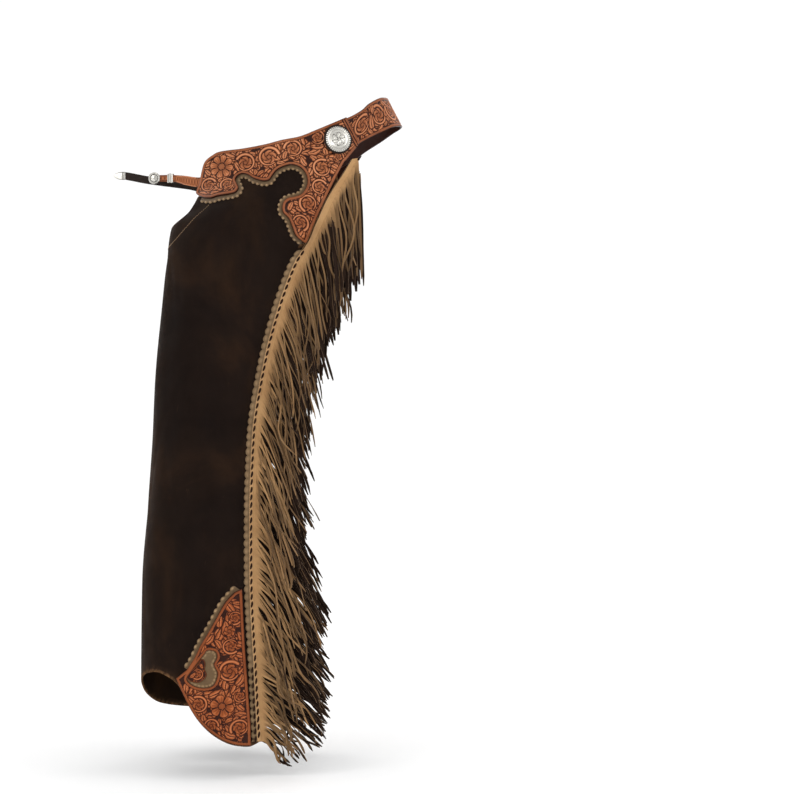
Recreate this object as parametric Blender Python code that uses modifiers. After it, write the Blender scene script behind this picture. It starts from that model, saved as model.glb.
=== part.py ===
"""Fringed leather chaps, filled out as worn, with tooled yokes, hem corners and a back belt.

The origin is the middle of the waist. The wearer's front is -X, the wearer's left side is -Y, and +Z is up.
"""

import math

import bpy
from mathutils import Matrix, Vector, geometry

# Driving dimensions, in metres.
LEG_WALL = 0.0025
YOKE_WALL = 0.003
TRIM_WALL = 0.0015
BELT_WALL = 0.0035
STRAP_WALL = 0.003
BILLET_WALL = 0.0026
FRINGE_WALL = 0.0014
UNDER_FRINGE_WALL = 0.0012
SEAT_GAP = 0.0008
LAYER_GAP = 0.0003
PANEL_GAP = 0.0009
FRINGE_GAP = 0.0015
TRIM_REACH = 0.0075
TRIM_TUCK = 0.006
CONCHO_RADIUS = 0.0222
ROSETTE_RADIUS = 0.0255
ROSETTE_WALL = 0.0014
BUCKLE_RADIUS = 0.0105
FLANGE_SPREADS = (27, 12)
STRAND_WIDTH = 0.0046
STRAND_SIDES = ((-0.0005, -0.0052), (0.0045, 0.0095))
TOP_STRANDS = 66
UNDER_STRANDS = 36
LEG_ROWS = 16
# The leg's leather is drawn in a little where the yoke lies over it.
HIP_EASE = 0.0016
HIP_EASE_LEVEL = -0.190
OUTLINE_STEP = 0.009
PANEL_STEP = 0.0145

# Rings of one leg, from the waist to below the hem, for the wearer's left side. A ring rises towards the
# back by "rise" for each metre, and its two half ellipses reach from x_front to x_back and y_out to y_in.
RING_COLUMNS = ("level", "rise", "x_front", "x_back", "y_out", "y_in")
RINGS = (
    (0.080, 0.370, -0.1950, 0.1620, -0.1365, 0.1365),
    (0.030, 0.370, -0.1970, 0.1630, -0.1365, 0.1365),
    (-0.010, 0.340, -0.2010, 0.1580, -0.1400, 0.1250),
    (-0.060, 0.250, -0.2075, 0.1200, -0.1620, 0.0600),
    (-0.110, 0.130, -0.2240, 0.0650, -0.1840, 0.0100),
    (-0.160, 0.050, -0.2290, 0.0190, -0.1960, -0.0060),
    (-0.260, 0.000, -0.2385, -0.0235, -0.2020, -0.0060),
    (-0.370, 0.000, -0.2493, -0.0535, -0.1960, -0.0120),
    (-0.490, 0.000, -0.2566, -0.0722, -0.1905, -0.0180),
    (-0.610, 0.000, -0.2643, -0.0758, -0.1910, -0.0190),
    (-0.740, 0.000, -0.2729, -0.0745, -0.1925, -0.0170),
    (-0.880, 0.000, -0.2746, -0.0665, -0.1965, -0.0130),
    (-1.030, 0.000, -0.2752, -0.0580, -0.1990, -0.0100),
)

# Round the leg, 0 degrees is the outer side, 90 the front, 180 the inner side and 270 the back.
LEG_COLUMNS = (
    -60, -50, -40, -30, -26, -20, -10, 0, 10, 20, 30, 40, 48, 56, 60.5, 62, 63.5, 69, 78,
    90, 104, 120, 138, 156, 174, 192, 210, 228, 244, 258, 270, 282, 292,
)
TOP_EDGE_COLUMNS = ("angle", "level")
TOP_EDGE = (
    (-60, -0.165), (-50, -0.115), (-40, -0.070), (-30, -0.038), (-26, -0.033), (-20, -0.012),
    (-10, -0.002), (15, 0.003), (35, -0.002), (48, -0.018), (56, -0.021), (60.5, -0.025),
    (62, -0.048), (63.5, -0.071), (69, -0.094), (78, -0.106), (90, -0.116), (105, -0.130),
    (130, -0.142), (180, -0.147), (230, -0.150), (270, -0.158), (300, -0.165),
)
HEM_COLUMNS = ("angle", "level")
HEM = (
    (-60, -1.009), (-49, -1.012), (-36, -1.009), (-28, -1.005), (-20, -0.998), (-12, -0.988),
    (-5, -0.976), (2, -0.960), (8, -0.942), (19, -0.904), (30, -0.891), (43, -0.885),
    (60, -0.889), (75, -0.898), (90, -0.910), (108, -0.932), (133, -0.954), (153, -0.961),
    (180, -0.966), (215, -0.978), (245, -0.988), (270, -0.996), (300, -1.009),
)

# Soft folds of the leg: angle, level, half angle, half height, lean in degrees a metre, and depth, which is
# negative in a trough.
FOLDS = (
    (52, -0.30, 15, 0.110, 60, -0.0032),
    (18, -0.42, 13, 0.120, -50, 0.0022),
    (74, -0.56, 14, 0.100, 90, -0.0030),
    (30, -0.66, 14, 0.130, 40, -0.0024),
    (125, -0.34, 18, 0.120, -70, -0.0038),
    (165, -0.55, 20, 0.130, 60, 0.0034),
    (205, -0.46, 18, 0.110, -80, -0.0044),
    (240, -0.58, 17, 0.090, 70, -0.0050),
    (150, -0.80, 18, 0.100, -50, -0.0034),
    (225, -0.80, 18, 0.110, 60, 0.0032),
)

# Pattern outlines of the left side as seen from the side: x towards the back and z up, in millimetres.
YOKE_UPPER = (
    (-173, -77), (-179, -68), (-173, -50), (-169, -29), (-163, -13), (-149, -3), (-135, 2), (-97, 5),
    (-59, 11), (-31, 18), (-1, 24), (25, 35), (51, 47), (76, 59),
)
YOKE_BACK = ((97, 18), (96, 12), (77, -14), (69, -25), (41, -80), (21, -122), (7, -155))
YOKE_LOWER = (
    (3, -156), (-9, -146), (-15, -130), (-20, -118), (-28, -110), (-30, -101), (-27, -91), (-20, -85),
    (-9, -82), (2, -77), (10, -65), (12, -52), (8, -40), (-1, -31), (-14, -27), (-27, -30), (-38, -36),
    (-45, -45), (-51, -54), (-60, -56), (-69, -54), (-79, -50), (-88, -43), (-98, -40), (-106, -44),
    (-109, -51), (-106, -59), (-103, -67), (-107, -74), (-115, -77), (-138, -80), (-150, -83), (-162, -82),
)
CORNER_HEM = (
    (-205, -893), (-198, -909), (-189, -928), (-182, -942), (-171, -960), (-158, -975), (-144, -987),
    (-131, -996), (-117, -1003), (-104, -1007), (-86, -1010),
)
CORNER_BACK = ((-87, -972), (-90, -929), (-93, -887), (-96, -845), (-99, -790), (-101, -745))
CORNER_SLOPE = (
    (-112, -750), (-127, -767), (-143, -797), (-154, -817), (-166, -838), (-175, -858), (-187, -878),
)
CORNER_TRIM = ((-106, -743), *CORNER_SLOPE)
WINDOW = (
    (-154, -846), (-142, -848), (-139, -858), (-144, -870), (-138, -885), (-143, -902), (-154, -908),
    (-170, -907), (-183, -900), (-187, -892), (-180, -881), (-168, -864), (-159, -852),
)

# The belt behind, half of it: the level of its middle, its half width, and how far its lower edge leans back
# for each metre of width.
BELT_COLUMNS = ("angle", "level", "half_width", "lean")
BELT = (
    (-26, -0.0060, 0.0275, 0.0), (-36, -0.0030, 0.0275, 0.0), (-42, 0.0012, 0.0273, 0.0),
    (-54, 0.0100, 0.0262, 0.30), (-70, 0.0155, 0.0252, 0.48), (-80, 0.0155, 0.0250, 0.52),
    (-90, 0.0150, 0.0250, 0.52),
)

# Inner edge of the fringe strip, from behind the yoke down the side seam, and the width of its free part.
STRIP_COLUMNS = ("level", "angle", "flange")
STRIP_EDGE = (
    (-0.047, -46.5, 0.006), (-0.075, -48.0, 0.009), (-0.100, -52.0, 0.012), (-0.132, -60.5, 0.015),
    (-0.160, -68.5, 0.016), (-0.176, -66.0, 0.016), (-0.190, -63.0, 0.016), (-0.220, -61.5, 0.016),
    (-0.260, -60.5, 0.016), (-1.006, -59.5, 0.016),
)
# How far a strand's tip lies from its root.
DROOP_COLUMNS = ("root_z", "back", "down")
DROOP = (
    (0.010, 0.008, 0.180), (-0.100, 0.028, 0.178), (-0.160, 0.042, 0.162), (-0.300, 0.050, 0.165),
    (-0.420, 0.066, 0.160), (-0.600, 0.098, 0.150), (-0.750, 0.116, 0.137), (-0.850, 0.114, 0.105),
    (-0.930, 0.100, 0.078), (-0.975, 0.088, 0.054), (-1.010, 0.060, 0.037),
)

# Middle lines of the two front straps beyond the yokes: x, y, z and half width.
STRAP = (
    (-0.2050, -0.0400, -0.0415, 0.0080), (-0.2165, -0.0245, -0.0380, 0.0068),
    (-0.2268, -0.0156, -0.0358, 0.0060), (-0.2395, -0.0112, -0.0353, 0.0060),
    (-0.2570, -0.0100, -0.0353, 0.0058),
)
BILLET = (
    (-0.2050, 0.0330, -0.0440, 0.0072), (-0.2240, 0.0080, -0.0435, 0.0070),
    (-0.2390, -0.0040, -0.0425, 0.0070), (-0.2560, -0.0066, -0.0405, 0.0070),
    (-0.2800, -0.0068, -0.0370, 0.0070), (-0.3000, -0.0066, -0.0330, 0.0070),
    (-0.3135, -0.0064, -0.0305, 0.0068),
)
STRAP_ROOT_ANGLES = (49.0, 55.0, 61.0)
STRAP_ROOT_LEVEL = 0.0095
STRAP_ROOT_OUT = -0.0012
BUCKLE_PLACE = Vector((-0.2620, -0.0122, -0.0353))
KEEPER_HALF_LENGTH = 0.0052
KEEPER_WALL = 0.0011
TIP_START = -0.3139
TIP_LENGTH = 0.0205
TIP_THICKNESS = 0.0036
CONCHO_PLACE = (0.061, 0.019)


def smooth_table(rows, columns, name):
    """A smooth curve of the named column over the first one, with no overshoot between the rows."""
    rows = sorted(rows)
    column = columns.index(name)
    xs = [row[0] for row in rows]
    ys = [row[column] for row in rows]
    steps = [b - a for a, b in zip(xs, xs[1:])]
    slopes = [(b - a) / step for a, b, step in zip(ys, ys[1:], steps)]
    tangents = [slopes[0]]
    for i in range(1, len(xs) - 1):
        before, after = slopes[i - 1], slopes[i]
        if before * after <= 0:
            tangents.append(0.0)
            continue
        weight_before = 2 * steps[i] + steps[i - 1]
        weight_after = steps[i] + 2 * steps[i - 1]
        tangents.append((weight_before + weight_after) / (weight_before / before + weight_after / after))
    tangents.append(slopes[-1])

    def value(x):
        x = min(max(x, xs[0]), xs[-1])
        i = max(k for k in range(len(xs) - 1) if xs[k] <= x)
        t = (x - xs[i]) / steps[i]
        start = ys[i] * (1 + 2 * t) * (1 - t) ** 2 + tangents[i] * steps[i] * t * (1 - t) ** 2
        return start + ys[i + 1] * t * t * (3 - 2 * t) + tangents[i + 1] * steps[i] * t * t * (t - 1)

    return value


RING_CURVES = [smooth_table(RINGS, RING_COLUMNS, name) for name in RING_COLUMNS[1:]]
TOP_CURVE = smooth_table(TOP_EDGE, TOP_EDGE_COLUMNS, "level")
HEM_CURVE = smooth_table(HEM, HEM_COLUMNS, "level")
STRIP_CURVE = smooth_table(STRIP_EDGE, STRIP_COLUMNS, "angle")
FLANGE_CURVE = smooth_table(STRIP_EDGE, STRIP_COLUMNS, "flange")
BACK_CURVE = smooth_table(DROOP, DROOP_COLUMNS, "back")
DOWN_CURVE = smooth_table(DROOP, DROOP_COLUMNS, "down")
BELT_LEVEL = smooth_table(BELT, BELT_COLUMNS, "level")
BELT_HALF_WIDTH = smooth_table(BELT, BELT_COLUMNS, "half_width")
BELT_LEAN = smooth_table(BELT, BELT_COLUMNS, "lean")


def ring(level):
    """Rise, middle x, half depth, middle y and half width of the leg's ring at a level."""
    rise, x_front, x_back, y_out, y_in = [curve(level) for curve in RING_CURVES]
    return rise, (x_front + x_back) / 2, (x_back - x_front) / 2, (y_out + y_in) / 2, (y_in - y_out) / 2


def fold_depth(angle, level):
    depth = 0.0
    for fold_angle, fold_level, half_angle, half_height, lean, height in FOLDS:
        down = level - fold_level
        turn = (angle - fold_angle - lean * down + 180) % 360 - 180
        depth += height * math.exp(-((turn / half_angle) ** 2) - (down / half_height) ** 2)
    return depth


def leg_point(angle, level, out=0.0):
    """A point on the leg's outer face, moved out by a distance."""
    rise, x_middle, depth, y_middle, width = ring(level)
    turn = math.radians(angle)
    away = Vector((-math.sin(turn) / depth, -math.cos(turn) / width, 0)).normalized()
    x = x_middle - depth * math.sin(turn)
    y = y_middle - width * math.cos(turn)
    z = level + rise * (x - x_middle)
    return Vector((x, y, z)) + away * (fold_depth(angle, level) + out)


def level_at(x, z):
    level = z
    for _ in range(24):
        rise, x_middle, _, _, _ = ring(level)
        level = 0.5 * level + 0.5 * (z - rise * (x - x_middle))
    return level


def angle_at(x, level):
    _, x_middle, depth, _, _ = ring(level)
    return math.degrees(math.asin(min(max((x_middle - x) / depth, -0.999), 0.999)))


def side_point(x, z, out=0.0):
    """The point of the leg's outer side that shows at x and z from the side, moved out square to the leg."""
    step = 0.001

    def on_side(x, z):
        level = level_at(x, z)
        return leg_point(angle_at(x, level), level)

    point = on_side(x, z)
    across = on_side(x + step, z) - on_side(x - step, z)
    along = on_side(x, z + step) - on_side(x, z - step)
    return point + across.cross(along).normalized() * out


def curve_through(points, closed=False):
    """Points at about OUTLINE_STEP along a smooth curve through pattern points in millimetres."""
    knots = [Vector(point) / 1000 for point in points]
    if closed:
        knots = [knots[-1], *knots, knots[0], knots[1]]
    else:
        knots = [2 * knots[0] - knots[1], *knots, 2 * knots[-1] - knots[-2]]
    line = []
    for a, b, c, d in zip(knots, knots[1:], knots[2:], knots[3:]):
        count = max(1, round((c - b).length / OUTLINE_STEP))
        for i in range(count):
            t = i / count
            bend = 2 * a - 5 * b + 4 * c - d
            twist = 3 * b - a - 3 * c + d
            line.append(b + (c - a) * t / 2 + bend * t**2 / 2 + twist * t**3 / 2)
    if not closed:
        line.append(knots[-2])
    return line


def shifted(line, distance):
    """The line moved to its left by a distance, without the loops that tight bends would make."""
    moved = []
    last = len(line) - 1
    for i, point in enumerate(line):
        along = line[min(i + 1, last)] - line[max(i - 1, 0)]
        side = Vector((-along.y, along.x)).normalized()
        moved.append(point + side * distance)
    reach = abs(distance) * 0.93
    kept = [moved[0]]
    for point in moved[1:]:
        clear = all((point - other).length > reach for other in line)
        if clear and (point - kept[-1]).length > OUTLINE_STEP * 0.3:
            kept.append(point)
    return kept


def inside(point, outline):
    crossings = 0
    for a, b in zip(outline, outline[1:] + outline[:1]):
        if (a.y > point.y) != (b.y > point.y):
            crossings += point.x < a.x + (point.y - a.y) * (b.x - a.x) / (b.y - a.y)
    return crossings % 2 == 1


def filled(outline, window=()):
    """Vertices and triangles that fill an outline, with a window left open."""
    points = [*outline, *window]
    edges = [(i, (i + 1) % len(outline)) for i in range(len(outline))]
    first = len(outline)
    edges += [(first + i, first + (i + 1) % len(window)) for i in range(len(window))]
    low_x, high_x = min(p.x for p in outline), max(p.x for p in outline)
    low_y, high_y = min(p.y for p in outline), max(p.y for p in outline)
    border = list(points)
    for row in range(int((high_y - low_y) / PANEL_STEP) + 1):
        for column in range(int((high_x - low_x) / PANEL_STEP) + 1):
            shift = (row % 2) / 2
            point = Vector((low_x + (column + shift) * PANEL_STEP, low_y + (row + 0.5) * PANEL_STEP))
            clear = all((point - other).length > PANEL_STEP * 0.55 for other in border)
            in_window = len(window) > 0 and inside(point, list(window))
            if clear and inside(point, outline) and not in_window:
                points.append(point)
    vertices, _, faces, _, _, _ = geometry.delaunay_2d_cdt(points, edges, [], 1, 1e-6)
    if window:
        middles = [sum((vertices[i] for i in face), Vector((0, 0))) / len(face) for face in faces]
        faces = [face for face, middle in zip(faces, middles) if not inside(middle, list(window))]
    return vertices, faces


def material(name, colour, roughness, metallic=0.0):
    made = bpy.data.materials.new(name)
    made.use_nodes = True
    shader = made.node_tree.nodes["Principled BSDF"]
    shader.inputs["Base Color"].default_value = (*colour, 1.0)
    shader.inputs["Roughness"].default_value = roughness
    shader.inputs["Metallic"].default_value = metallic
    return made


def solid(name, vertices, faces, wall, side, look):
    """A node from an open sheet, thickened. Side 1 adds the wall outwards, -1 inwards and 0 both ways."""
    mesh = bpy.data.meshes.new(name)
    mesh.from_pydata([tuple(vertex) for vertex in vertices], [], faces)
    mesh.materials.append(look)
    mesh.shade_smooth()
    mesh.set_sharp_from_angle(angle=math.radians(40))
    node = bpy.data.objects.new(name, mesh)
    COLLECTION.objects.link(node)
    if wall:
        thicken = node.modifiers.new("Wall", "SOLIDIFY")
        thicken.thickness = wall
        thicken.offset = side
        thicken.use_even_offset = False
    return node


def grid_faces(rows, columns, closed=False):
    faces = []
    for row in range(rows - 1):
        for column in range(columns if closed else columns - 1):
            beside = (column + 1) % columns
            start, below = row * columns, (row + 1) * columns
            faces.append((start + column, start + beside, below + beside, below + column))
    return faces


def mirrored(node, name):
    """The right side's piece, which shares the left side's mesh."""
    twin = node.copy()
    twin.name = name
    twin.matrix_world = Matrix.Scale(-1, 4, (0, 1, 0)) @ node.matrix_world
    COLLECTION.objects.link(twin)
    return twin


def leg():
    vertices = []
    for row in range(LEG_ROWS + 1):
        share = 0.5 * (row / LEG_ROWS) + 0.5 * (row / LEG_ROWS) ** 1.8
        for angle in LEG_COLUMNS:
            top, hem = TOP_CURVE(angle), HEM_CURVE(angle)
            level = top + (hem - top) * share
            ease = HIP_EASE * min(max((level - HIP_EASE_LEVEL) / 0.04, 0.0), 1.0)
            vertices.append(leg_point(angle, level, -ease))
    faces = grid_faces(LEG_ROWS + 1, len(LEG_COLUMNS), closed=True)
    return solid("left_leg", vertices, faces, LEG_WALL, -1, CHAP_LEATHER)


def laid_panel(name, outline, window, out, wall, look):
    flat, faces = filled(outline, window)
    vertices = [side_point(point.x, point.y, out) for point in flat]
    return solid(name, vertices, faces, wall, 1, look)


def yoke():
    upper = curve_through(YOKE_UPPER)
    back = curve_through(YOKE_BACK)
    lower = curve_through(YOKE_LOWER)
    outline = [*upper, *back, *lower][::-1]
    out = SEAT_GAP + TRIM_WALL + PANEL_GAP
    return laid_panel("left_yoke", outline, (), out, YOKE_WALL, TOOLED_LEATHER)


def corner():
    outline = [*curve_through(CORNER_HEM), *curve_through(CORNER_BACK), *curve_through(CORNER_SLOPE)]
    window = curve_through(WINDOW, closed=True)
    out = SEAT_GAP + TRIM_WALL + PANEL_GAP
    return laid_panel("left_corner", outline, window, out, YOKE_WALL, TOOLED_LEATHER)


def edge_trim(name, points, reach, tuck, out):
    """A strip that runs under an edge and shows beyond it by the reach."""
    line = curve_through(points)
    outline = [*shifted(line, reach), *reversed(shifted(line, -tuck))]
    turned = sum(a.cross(b) for a, b in zip(outline, outline[1:] + outline[:1]))
    if turned < 0:
        outline.reverse()
    return laid_panel(name, outline, (), out, TRIM_WALL, TRIM_SUEDE)


def seam_trim():
    top, bottom = -0.174, -1.004
    over = SEAT_GAP + UNDER_FRINGE_WALL + FRINGE_GAP + FRINGE_WALL + 2 * LAYER_GAP
    sections = ((8.5, SEAT_GAP), (5.5, SEAT_GAP + 0.0006), (2.8, over), (-2.6, over))
    rows = 38
    vertices = []
    for row in range(rows + 1):
        level = top + (bottom - top) * row / rows
        for turn, out in reversed(sections):
            vertices.append(leg_point(STRIP_CURVE(level) + turn, level, out))
    faces = grid_faces(rows + 1, len(sections))
    return solid("left_seam_trim", vertices, faces, TRIM_WALL, 1, TRIM_SUEDE)


def strand_sway(index, layer):
    """An uneven but repeatable number from -1 to 1 for each strand."""
    return math.sin(index * 2.39996 + layer * 1.7) * math.cos(index * 0.731 + layer)


def comb(name, count, layer, out, wall, look):
    """A strip with strands that leave its outer edge, narrow to their width and hang down."""
    sheet, faces = [], []
    top, bottom = STRIP_EDGE[0][0], STRIP_EDGE[-1][0]
    for row in range(count + 1):
        level = top + (bottom - top) * row / count
        angle = STRIP_CURVE(level)
        inner = leg_point(angle, level, out)
        middle = leg_point(angle - 3.5, level, out)
        square = (leg_point(angle - 3.5, level, out + 0.01) - middle).normalized()
        along = Vector((-square.y, square.x, 0)).normalized()
        spread = math.radians(FLANGE_SPREADS[layer])
        flange = along * math.cos(spread) + square * math.sin(spread)
        sheet += [inner, middle, middle + flange * FLANGE_CURVE(level)]
    for row in range(count):
        a, b = row * 3, row * 3 + 3
        faces += [(a, b, b + 1, a + 1), (a + 1, b + 1, b + 2, a + 2)]
    stations = (0.14, 0.55, 1.0)
    for row in range(count):
        upper, lower = sheet[row * 3 + 2], sheet[row * 3 + 5]
        flange = (upper - sheet[row * 3 + 1]).normalized()
        root = (upper + lower) / 2
        length = 1 + 0.06 * strand_sway(row, layer)
        side = STRAND_SIDES[layer][row % 2]
        tip = Vector((BACK_CURVE(root.z), side * 1.6 + 0.004, -DOWN_CURVE(root.z))) * length
        knee = flange * tip.x * 0.55 + Vector((tip.x * 0.15, side, tip.z * 0.35))
        last = (row * 3 + 2, row * 3 + 5)
        for station in stations:
            place = root + 2 * station * (1 - station) * knee + station**2 * tip
            heading = (1 - station) * knee + station * (tip - knee)
            across = Vector((heading.z, 0, -heading.x)).normalized()
            half = STRAND_WIDTH / 2
            start = len(sheet)
            sheet += [place - across * half, place + across * half]
            faces.append((last[0], last[1], start + 1, start))
            last = (start, start + 1)
    return solid(name, sheet, faces, wall, 1, look)


def belt():
    """The back belt. The half behind the left yoke is made, and a mirror makes the other half."""
    steps = 11
    across = 3
    _, x_middle, depth, _, width = ring(RINGS[0][0])
    rise = RINGS[0][1]
    inset = LAYER_GAP + 0.0001
    vertices = []
    for step in range(steps + 1):
        angle = BELT[0][0] + (BELT[-1][0] - BELT[0][0]) * step / steps
        turn = math.radians(angle)
        for row in range(across):
            up = BELT_HALF_WIDTH(angle) * (1 - row)
            x = x_middle - (depth - inset) * math.sin(turn)
            y = -(width - inset) * math.cos(turn) if step < steps else 0.0
            z = BELT_LEVEL(angle) + up + rise * (x - x_middle)
            vertices.append(Vector((x - BELT_LEAN(angle) * up, y, z)))
    node = solid("belt", vertices, grid_faces(steps + 1, across), 0, 0, TOOLED_LEATHER)
    mirror = node.modifiers.new("Right half", "MIRROR")
    mirror.use_axis = (False, True, False)
    mirror.merge_threshold = 0.0001
    thicken = node.modifiers.new("Wall", "SOLIDIFY")
    thicken.thickness = BELT_WALL
    thicken.offset = -1
    return node


def front_strap(name, rows, hand, wall, look):
    """A strap from under a yoke to the buckle. Hand 1 starts on the left side and -1 on the right."""
    middle = []
    for angle in STRAP_ROOT_ANGLES:
        root = leg_point(angle, STRAP_ROOT_LEVEL, STRAP_ROOT_OUT)
        middle.append((Vector((root.x, root.y * hand, root.z)), 0.0085))
    middle += [(Vector((x, y, z)), half_width) for x, y, z, half_width in rows]
    vertices = []
    for place, half_width in middle:
        vertices += [place + Vector((0, 0, half_width)), place - Vector((0, 0, half_width))]
    return solid(name, vertices, grid_faces(len(middle), 2), wall, 0, look)


def keeper():
    """A flat metal loop round the strap, drawn as a rounded rectangle and thickened outwards."""
    behind, ahead = Vector(STRAP[2][:3]), Vector(STRAP[3][:3])
    half_width = STRAP[2][3]
    place = (behind + ahead) / 2
    along = Vector((ahead.x - behind.x, ahead.y - behind.y, 0)).normalized()
    square = Vector((along.y, -along.x, 0))
    deep = STRAP_WALL / 2 + 0.0008
    tall = half_width + 0.0011
    corner_radius = 0.0006
    loop = []
    for quarter in range(4):
        for step in range(3):
            turn = math.radians(quarter * 90 + step * 45)
            mid = math.radians(quarter * 90 + 45)
            flat = math.copysign(deep - corner_radius, math.cos(mid)) + corner_radius * math.cos(turn)
            high = math.copysign(tall - corner_radius, math.sin(mid)) + corner_radius * math.sin(turn)
            loop.append(square * flat + Vector((0, 0, high)))
    vertices = [place + along * KEEPER_HALF_LENGTH * end + point for end in (-1, 1) for point in loop]
    return solid("strap_keeper", vertices, grid_faces(2, len(loop), closed=True), KEEPER_WALL, -1, SILVER)


def turned(name, profile, steps, place, axis, look):
    """A disc turned from a profile of radius and height, standing on its place along an axis."""
    mesh = bpy.data.meshes.new(name)
    mesh.from_pydata([(radius, 0, height) for radius, height in profile], [], [])
    mesh.edges.add(len(profile) - 1)
    for i, edge in enumerate(mesh.edges):
        edge.vertices = (i, i + 1)
    mesh.materials.append(look)
    node = bpy.data.objects.new(name, mesh)
    COLLECTION.objects.link(node)
    screw = node.modifiers.new("Turn", "SCREW")
    screw.steps = steps
    screw.render_steps = steps
    screw.use_merge_vertices = True
    screw.merge_threshold = 0.0001
    node.matrix_world = Matrix.Translation(place) @ axis.to_track_quat("Z", "X").to_matrix().to_4x4()
    return node


def concho_seat(radius):
    """Where a flat disc of this radius stands clear on the yoke, and the way that it faces."""
    x, z = CONCHO_PLACE
    out = SEAT_GAP + TRIM_WALL + PANEL_GAP + YOKE_WALL
    rim = []
    for step in range(16):
        turn = math.tau * step / 16
        rim.append(side_point(x + radius * math.cos(turn), z + radius * math.sin(turn), out))
    middle = side_point(x, z, out)
    axis = Vector((0, 0, 0))
    for a, b in zip(rim, rim[4:] + rim[:4]):
        axis += (a - middle).cross(b - middle)
    axis.normalize()
    height = max(max((point - middle).dot(axis) for point in rim), 0.0)
    return middle + axis * (height + SEAT_GAP), axis


def rosette():
    place, axis = concho_seat(ROSETTE_RADIUS)
    profile = ((0, ROSETTE_WALL), (ROSETTE_RADIUS, ROSETTE_WALL), (ROSETTE_RADIUS, 0), (0, 0))
    return turned("left_rosette", profile, 24, place, axis, STRAP_DARK)


def concho():
    place, axis = concho_seat(ROSETTE_RADIUS)
    profile = (
        (0, 0.0042), (0.0145, 0.0026), (0.0190, 0.0028), (CONCHO_RADIUS, 0.0010), (CONCHO_RADIUS, 0), (0, 0),
    )
    return turned("left_concho", profile, 26, place + axis * (ROSETTE_WALL + LAYER_GAP), axis, SILVER)


def buckle():
    profile = (
        (0, 0.0034), (0.0062, 0.0027), (0.0067, 0.0018), (0.0082, 0.0026), (BUCKLE_RADIUS, 0.0010),
        (BUCKLE_RADIUS, 0), (0, 0),
    )
    return turned("buckle", profile, 22, BUCKLE_PLACE, Vector((0, -1, 0)), SILVER)


def strap_tip():
    """A pointed metal end: half its outline bends from straight sides to the point."""
    _, y, z, half = BILLET[-1]
    half += 0.0004
    upper = ((0, 1.0), (0.42, 0.96), (0.68, 0.72), (0.88, 0.38), (1.0, 0.0))
    outline = [Vector((TIP_START - TIP_LENGTH * along, y, z + half * high)) for along, high in upper]
    outline += [Vector((TIP_START - TIP_LENGTH * along, y, z - half * high)) for along, high in upper[-2::-1]]
    faces = [tuple(range(len(outline)))]
    return solid("strap_tip", outline, faces, TIP_THICKNESS, 0, SILVER)


for old in list(bpy.data.objects):
    bpy.data.objects.remove(old)

COLLECTION = bpy.data.collections.new("Leather chaps")
bpy.context.scene.collection.children.link(COLLECTION)
CHAP_LEATHER = material("chap_leather", (0.022, 0.013, 0.009), 0.42)
TOOLED_LEATHER = material("tooled_leather", (0.33, 0.085, 0.038), 0.38)
TRIM_SUEDE = material("trim_suede", (0.35, 0.28, 0.19), 0.85)
FRINGE_SUEDE = material("fringe_suede", (0.50, 0.30, 0.14), 0.88)
DARK_FRINGE = material("dark_fringe", (0.014, 0.009, 0.006), 0.75)
STRAP_DARK = material("strap_dark", (0.018, 0.011, 0.008), 0.45)
SILVER = material("silver", (0.80, 0.78, 0.74), 0.22, 1.0)

UNDER_OUT = SEAT_GAP
TOP_OUT = SEAT_GAP + UNDER_FRINGE_WALL + FRINGE_GAP
left_pieces = (
    leg(),
    yoke(),
    edge_trim("left_yoke_trim", YOKE_LOWER[2:], TRIM_REACH, TRIM_TUCK, SEAT_GAP),
    rosette(),
    concho(),
    corner(),
    edge_trim("left_corner_trim", CORNER_TRIM[::-1], TRIM_REACH + 0.001, TRIM_TUCK, SEAT_GAP + LAYER_GAP),
    seam_trim(),
    comb("left_fringe", TOP_STRANDS, 0, TOP_OUT, FRINGE_WALL, FRINGE_SUEDE),
    comb("left_under_fringe", UNDER_STRANDS, 1, UNDER_OUT, UNDER_FRINGE_WALL, DARK_FRINGE),
)
bpy.context.view_layer.update()
for piece in left_pieces:
    mirrored(piece, piece.name.replace("left_", "right_"))
belt()
front_strap("left_front_strap", STRAP, 1, STRAP_WALL, TOOLED_LEATHER)
front_strap("right_front_strap", BILLET, -1, BILLET_WALL, STRAP_DARK)
keeper()
buckle()
strap_tip()
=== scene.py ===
"""The looks of the fringed leather chaps: oiled legs, tooled yokes and belt, lacing, fringe and silver."""

import math
import random

import bpy
import numpy as np
from mathutils import Matrix, Vector, geometry


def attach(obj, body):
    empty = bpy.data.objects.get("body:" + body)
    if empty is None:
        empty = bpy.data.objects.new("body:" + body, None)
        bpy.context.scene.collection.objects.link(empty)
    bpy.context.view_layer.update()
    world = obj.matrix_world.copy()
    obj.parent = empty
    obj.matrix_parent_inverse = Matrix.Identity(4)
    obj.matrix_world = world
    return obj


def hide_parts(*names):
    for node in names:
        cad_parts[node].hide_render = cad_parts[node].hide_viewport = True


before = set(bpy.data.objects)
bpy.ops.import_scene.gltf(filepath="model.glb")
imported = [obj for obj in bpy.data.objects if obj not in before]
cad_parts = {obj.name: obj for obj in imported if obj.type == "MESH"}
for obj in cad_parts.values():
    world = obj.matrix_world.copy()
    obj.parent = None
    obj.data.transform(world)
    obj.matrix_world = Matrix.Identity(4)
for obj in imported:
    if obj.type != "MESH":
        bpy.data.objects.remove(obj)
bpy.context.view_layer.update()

MM = 0.001

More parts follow.
